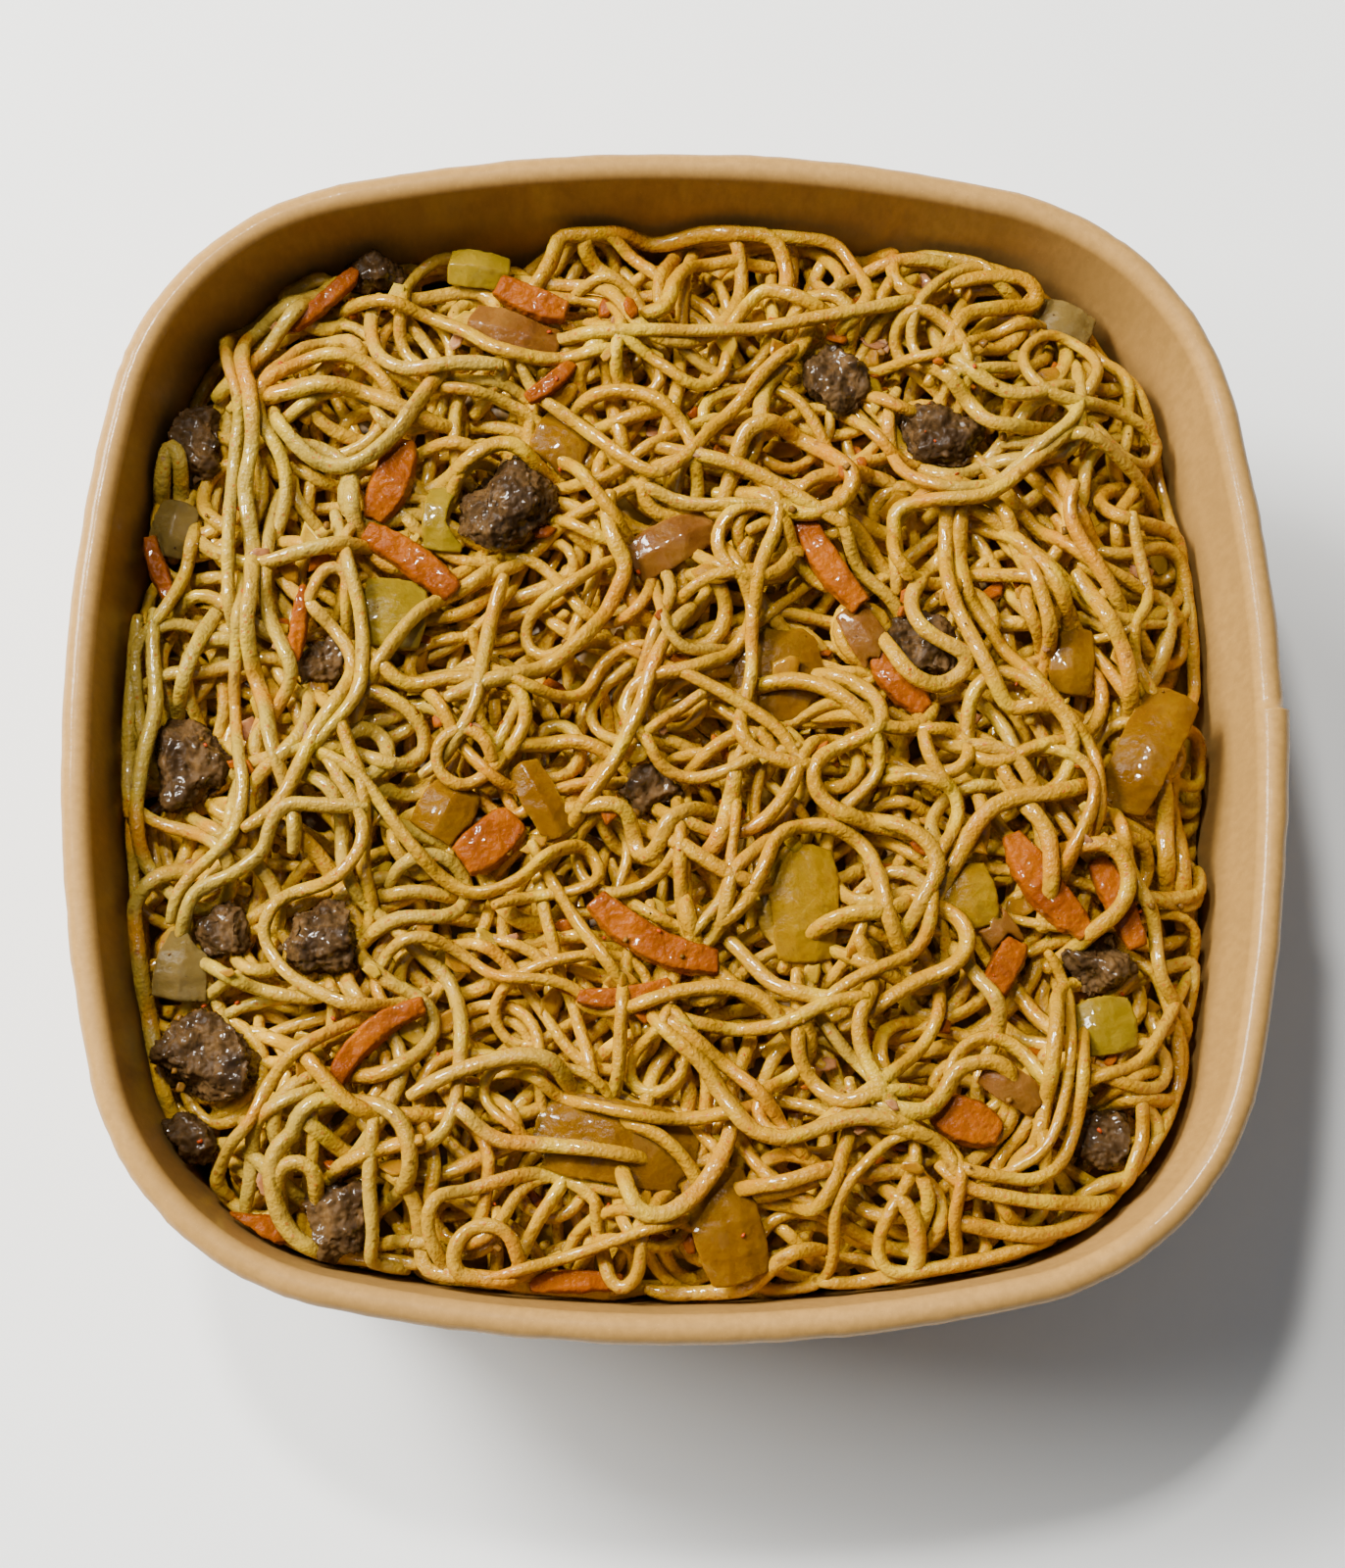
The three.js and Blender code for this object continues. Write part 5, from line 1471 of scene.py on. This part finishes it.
def make_stage(bowl, stage):
    """The camera, the pale floor, the lights and the sky."""
    add_camera(bowl)
    p = Paint("pale_floor")
    grain = p.noise(30, 3, 0.5)
    p.link(p.mix(p.ramp(grain, 0.3, 0.7), shade(stage.floor, 0.985), tuple(stage.floor)), "Base Color")
    p.set(roughness=0.75)
    corners = [(x * FLOOR_HALF, y * FLOOR_HALF, 0) for x, y in ((-1, -1), (1, -1), (1, 1), (-1, 1))]
    new_object("floor", corners, [(0, 1, 2, 3)], p.material)
    for name, place_m, size, share, colour in LIGHTS:
        add_light(name, place_m, size, stage.key_power * share, colour)
    world = bpy.data.worlds.new("studio")
    world.use_nodes = True
    background = world.node_tree.nodes["Background"]
    background.inputs["Color"].default_value = SKY
    background.inputs["Strength"].default_value = SKY_STRENGTH
    bpy.context.scene.world = world


# ---------------------------------------------------------------- operators
SHARED = {}  # the pile of noodles, which the flakes are laid on


class NBX_OT_bowl(bpy.types.Operator):
    """Builds the kraft wall, its rolled rim and the base panel"""

    bl_idname = "nbx.bowl"
    bl_label = "Kraft bowl"

    def execute(self, context):
        bowl = settings()[0]
        material = kraft_material(tuple(bowl.kraft))
        make_bowl_wall(bowl, material)
        make_bowl_base(bowl, material)
        return {"FINISHED"}


class NBX_OT_noodles(bpy.types.Operator):
    """Lays the noodles over their core"""

    bl_idname = "nbx.noodles"
    bl_label = "Noodles"

    def execute(self, context):
        bowl, noodles, _, _ = settings()
        material = noodle_material(tuple(noodles.pale), tuple(noodles.golden))
        SHARED["pile"] = make_noodles(bowl, noodles, material, shaded_core_material(tuple(noodles.golden)))
        return {"FINISHED"}


class NBX_OT_beef(bpy.types.Operator):
    """Builds the beef chunks"""

    bl_idname = "nbx.beef"
    bl_label = "Beef"

    def execute(self, context):
        pieces = settings()[2]
        make_beef(beef_material(tuple(pieces.beef_dark), tuple(pieces.beef_mid)))
        return {"FINISHED"}


class NBX_OT_carrots(bpy.types.Operator):
    """Builds the carrot shreds"""

    bl_idname = "nbx.carrots"
    bl_label = "Carrot"

    def execute(self, context):
        make_carrots(carrot_material(tuple(settings()[2].carrot)))
        return {"FINISHED"}


class NBX_OT_onions(bpy.types.Operator):
    """Builds the cut layers of onion and pepper"""

    bl_idname = "nbx.onions"
    bl_label = "Onion"

    def execute(self, context):
        make_onions()
        return {"FINISHED"}


class NBX_OT_flakes(bpy.types.Operator):
    """Scatters chilli flakes, pepper, and crumbs of the beef, carrot and onion"""

    bl_idname = "nbx.flakes"
    bl_label = "Flakes and crumbs"

    def execute(self, context):
        bowl, noodles, pieces, _ = settings()
        if "pile" not in SHARED:
            raise RuntimeError("lay the noodles first")
        make_flakes(bowl, noodles, pieces, SHARED["pile"])
        return {"FINISHED"}


class NBX_OT_stage(bpy.types.Operator):
    """Sets up the floor, the lights and the camera"""

    bl_idname = "nbx.stage"
    bl_label = "Stage"

    def execute(self, context):
        bowl, _, _, stage = settings()
        make_stage(bowl, stage)
        return {"FINISHED"}


OPERATORS = (
    NBX_OT_bowl,
    NBX_OT_noodles,
    NBX_OT_beef,
    NBX_OT_carrots,
    NBX_OT_onions,
    NBX_OT_flakes,
    NBX_OT_stage,
)


class NBX_PT_panel(bpy.types.Panel):
    """Lists the pieces of the noodle box"""

    bl_idname = "NBX_PT_panel"
    bl_label = "Noodle Box"
    bl_space_type = "VIEW_3D"
    bl_region_type = "UI"
    bl_category = "Noodle Box"

    def draw(self, context):
        for operator in OPERATORS:
            self.layout.operator(operator.bl_idname)
        for group in settings():
            box = self.layout.box()
            for name in group.__annotations__:
                box.prop(group, name)


GROUPS = {
    "nbx_bowl": NBX_BowlSettings,
    "nbx_noodles": NBX_NoodleSettings,
    "nbx_pieces": NBX_PieceSettings,
    "nbx_stage": NBX_StageSettings,
}


def register():
    for cls in (*GROUPS.values(), *OPERATORS, NBX_PT_panel):
        bpy.utils.register_class(cls)
    for name, cls in GROUPS.items():
        setattr(bpy.types.Scene, name, PointerProperty(type=cls))


def unregister():
    for name in GROUPS:
        delattr(bpy.types.Scene, name)
    for cls in reversed((*GROUPS.values(), *OPERATORS, NBX_PT_panel)):
        bpy.utils.unregister_class(cls)


def main():
    register()
    bpy.ops.nbx.bowl()
    bpy.ops.nbx.noodles()
    bpy.ops.nbx.beef()
    bpy.ops.nbx.carrots()
    bpy.ops.nbx.onions()
    bpy.ops.nbx.flakes()
    bpy.ops.nbx.stage()


if __name__ == "__main__":
    main()
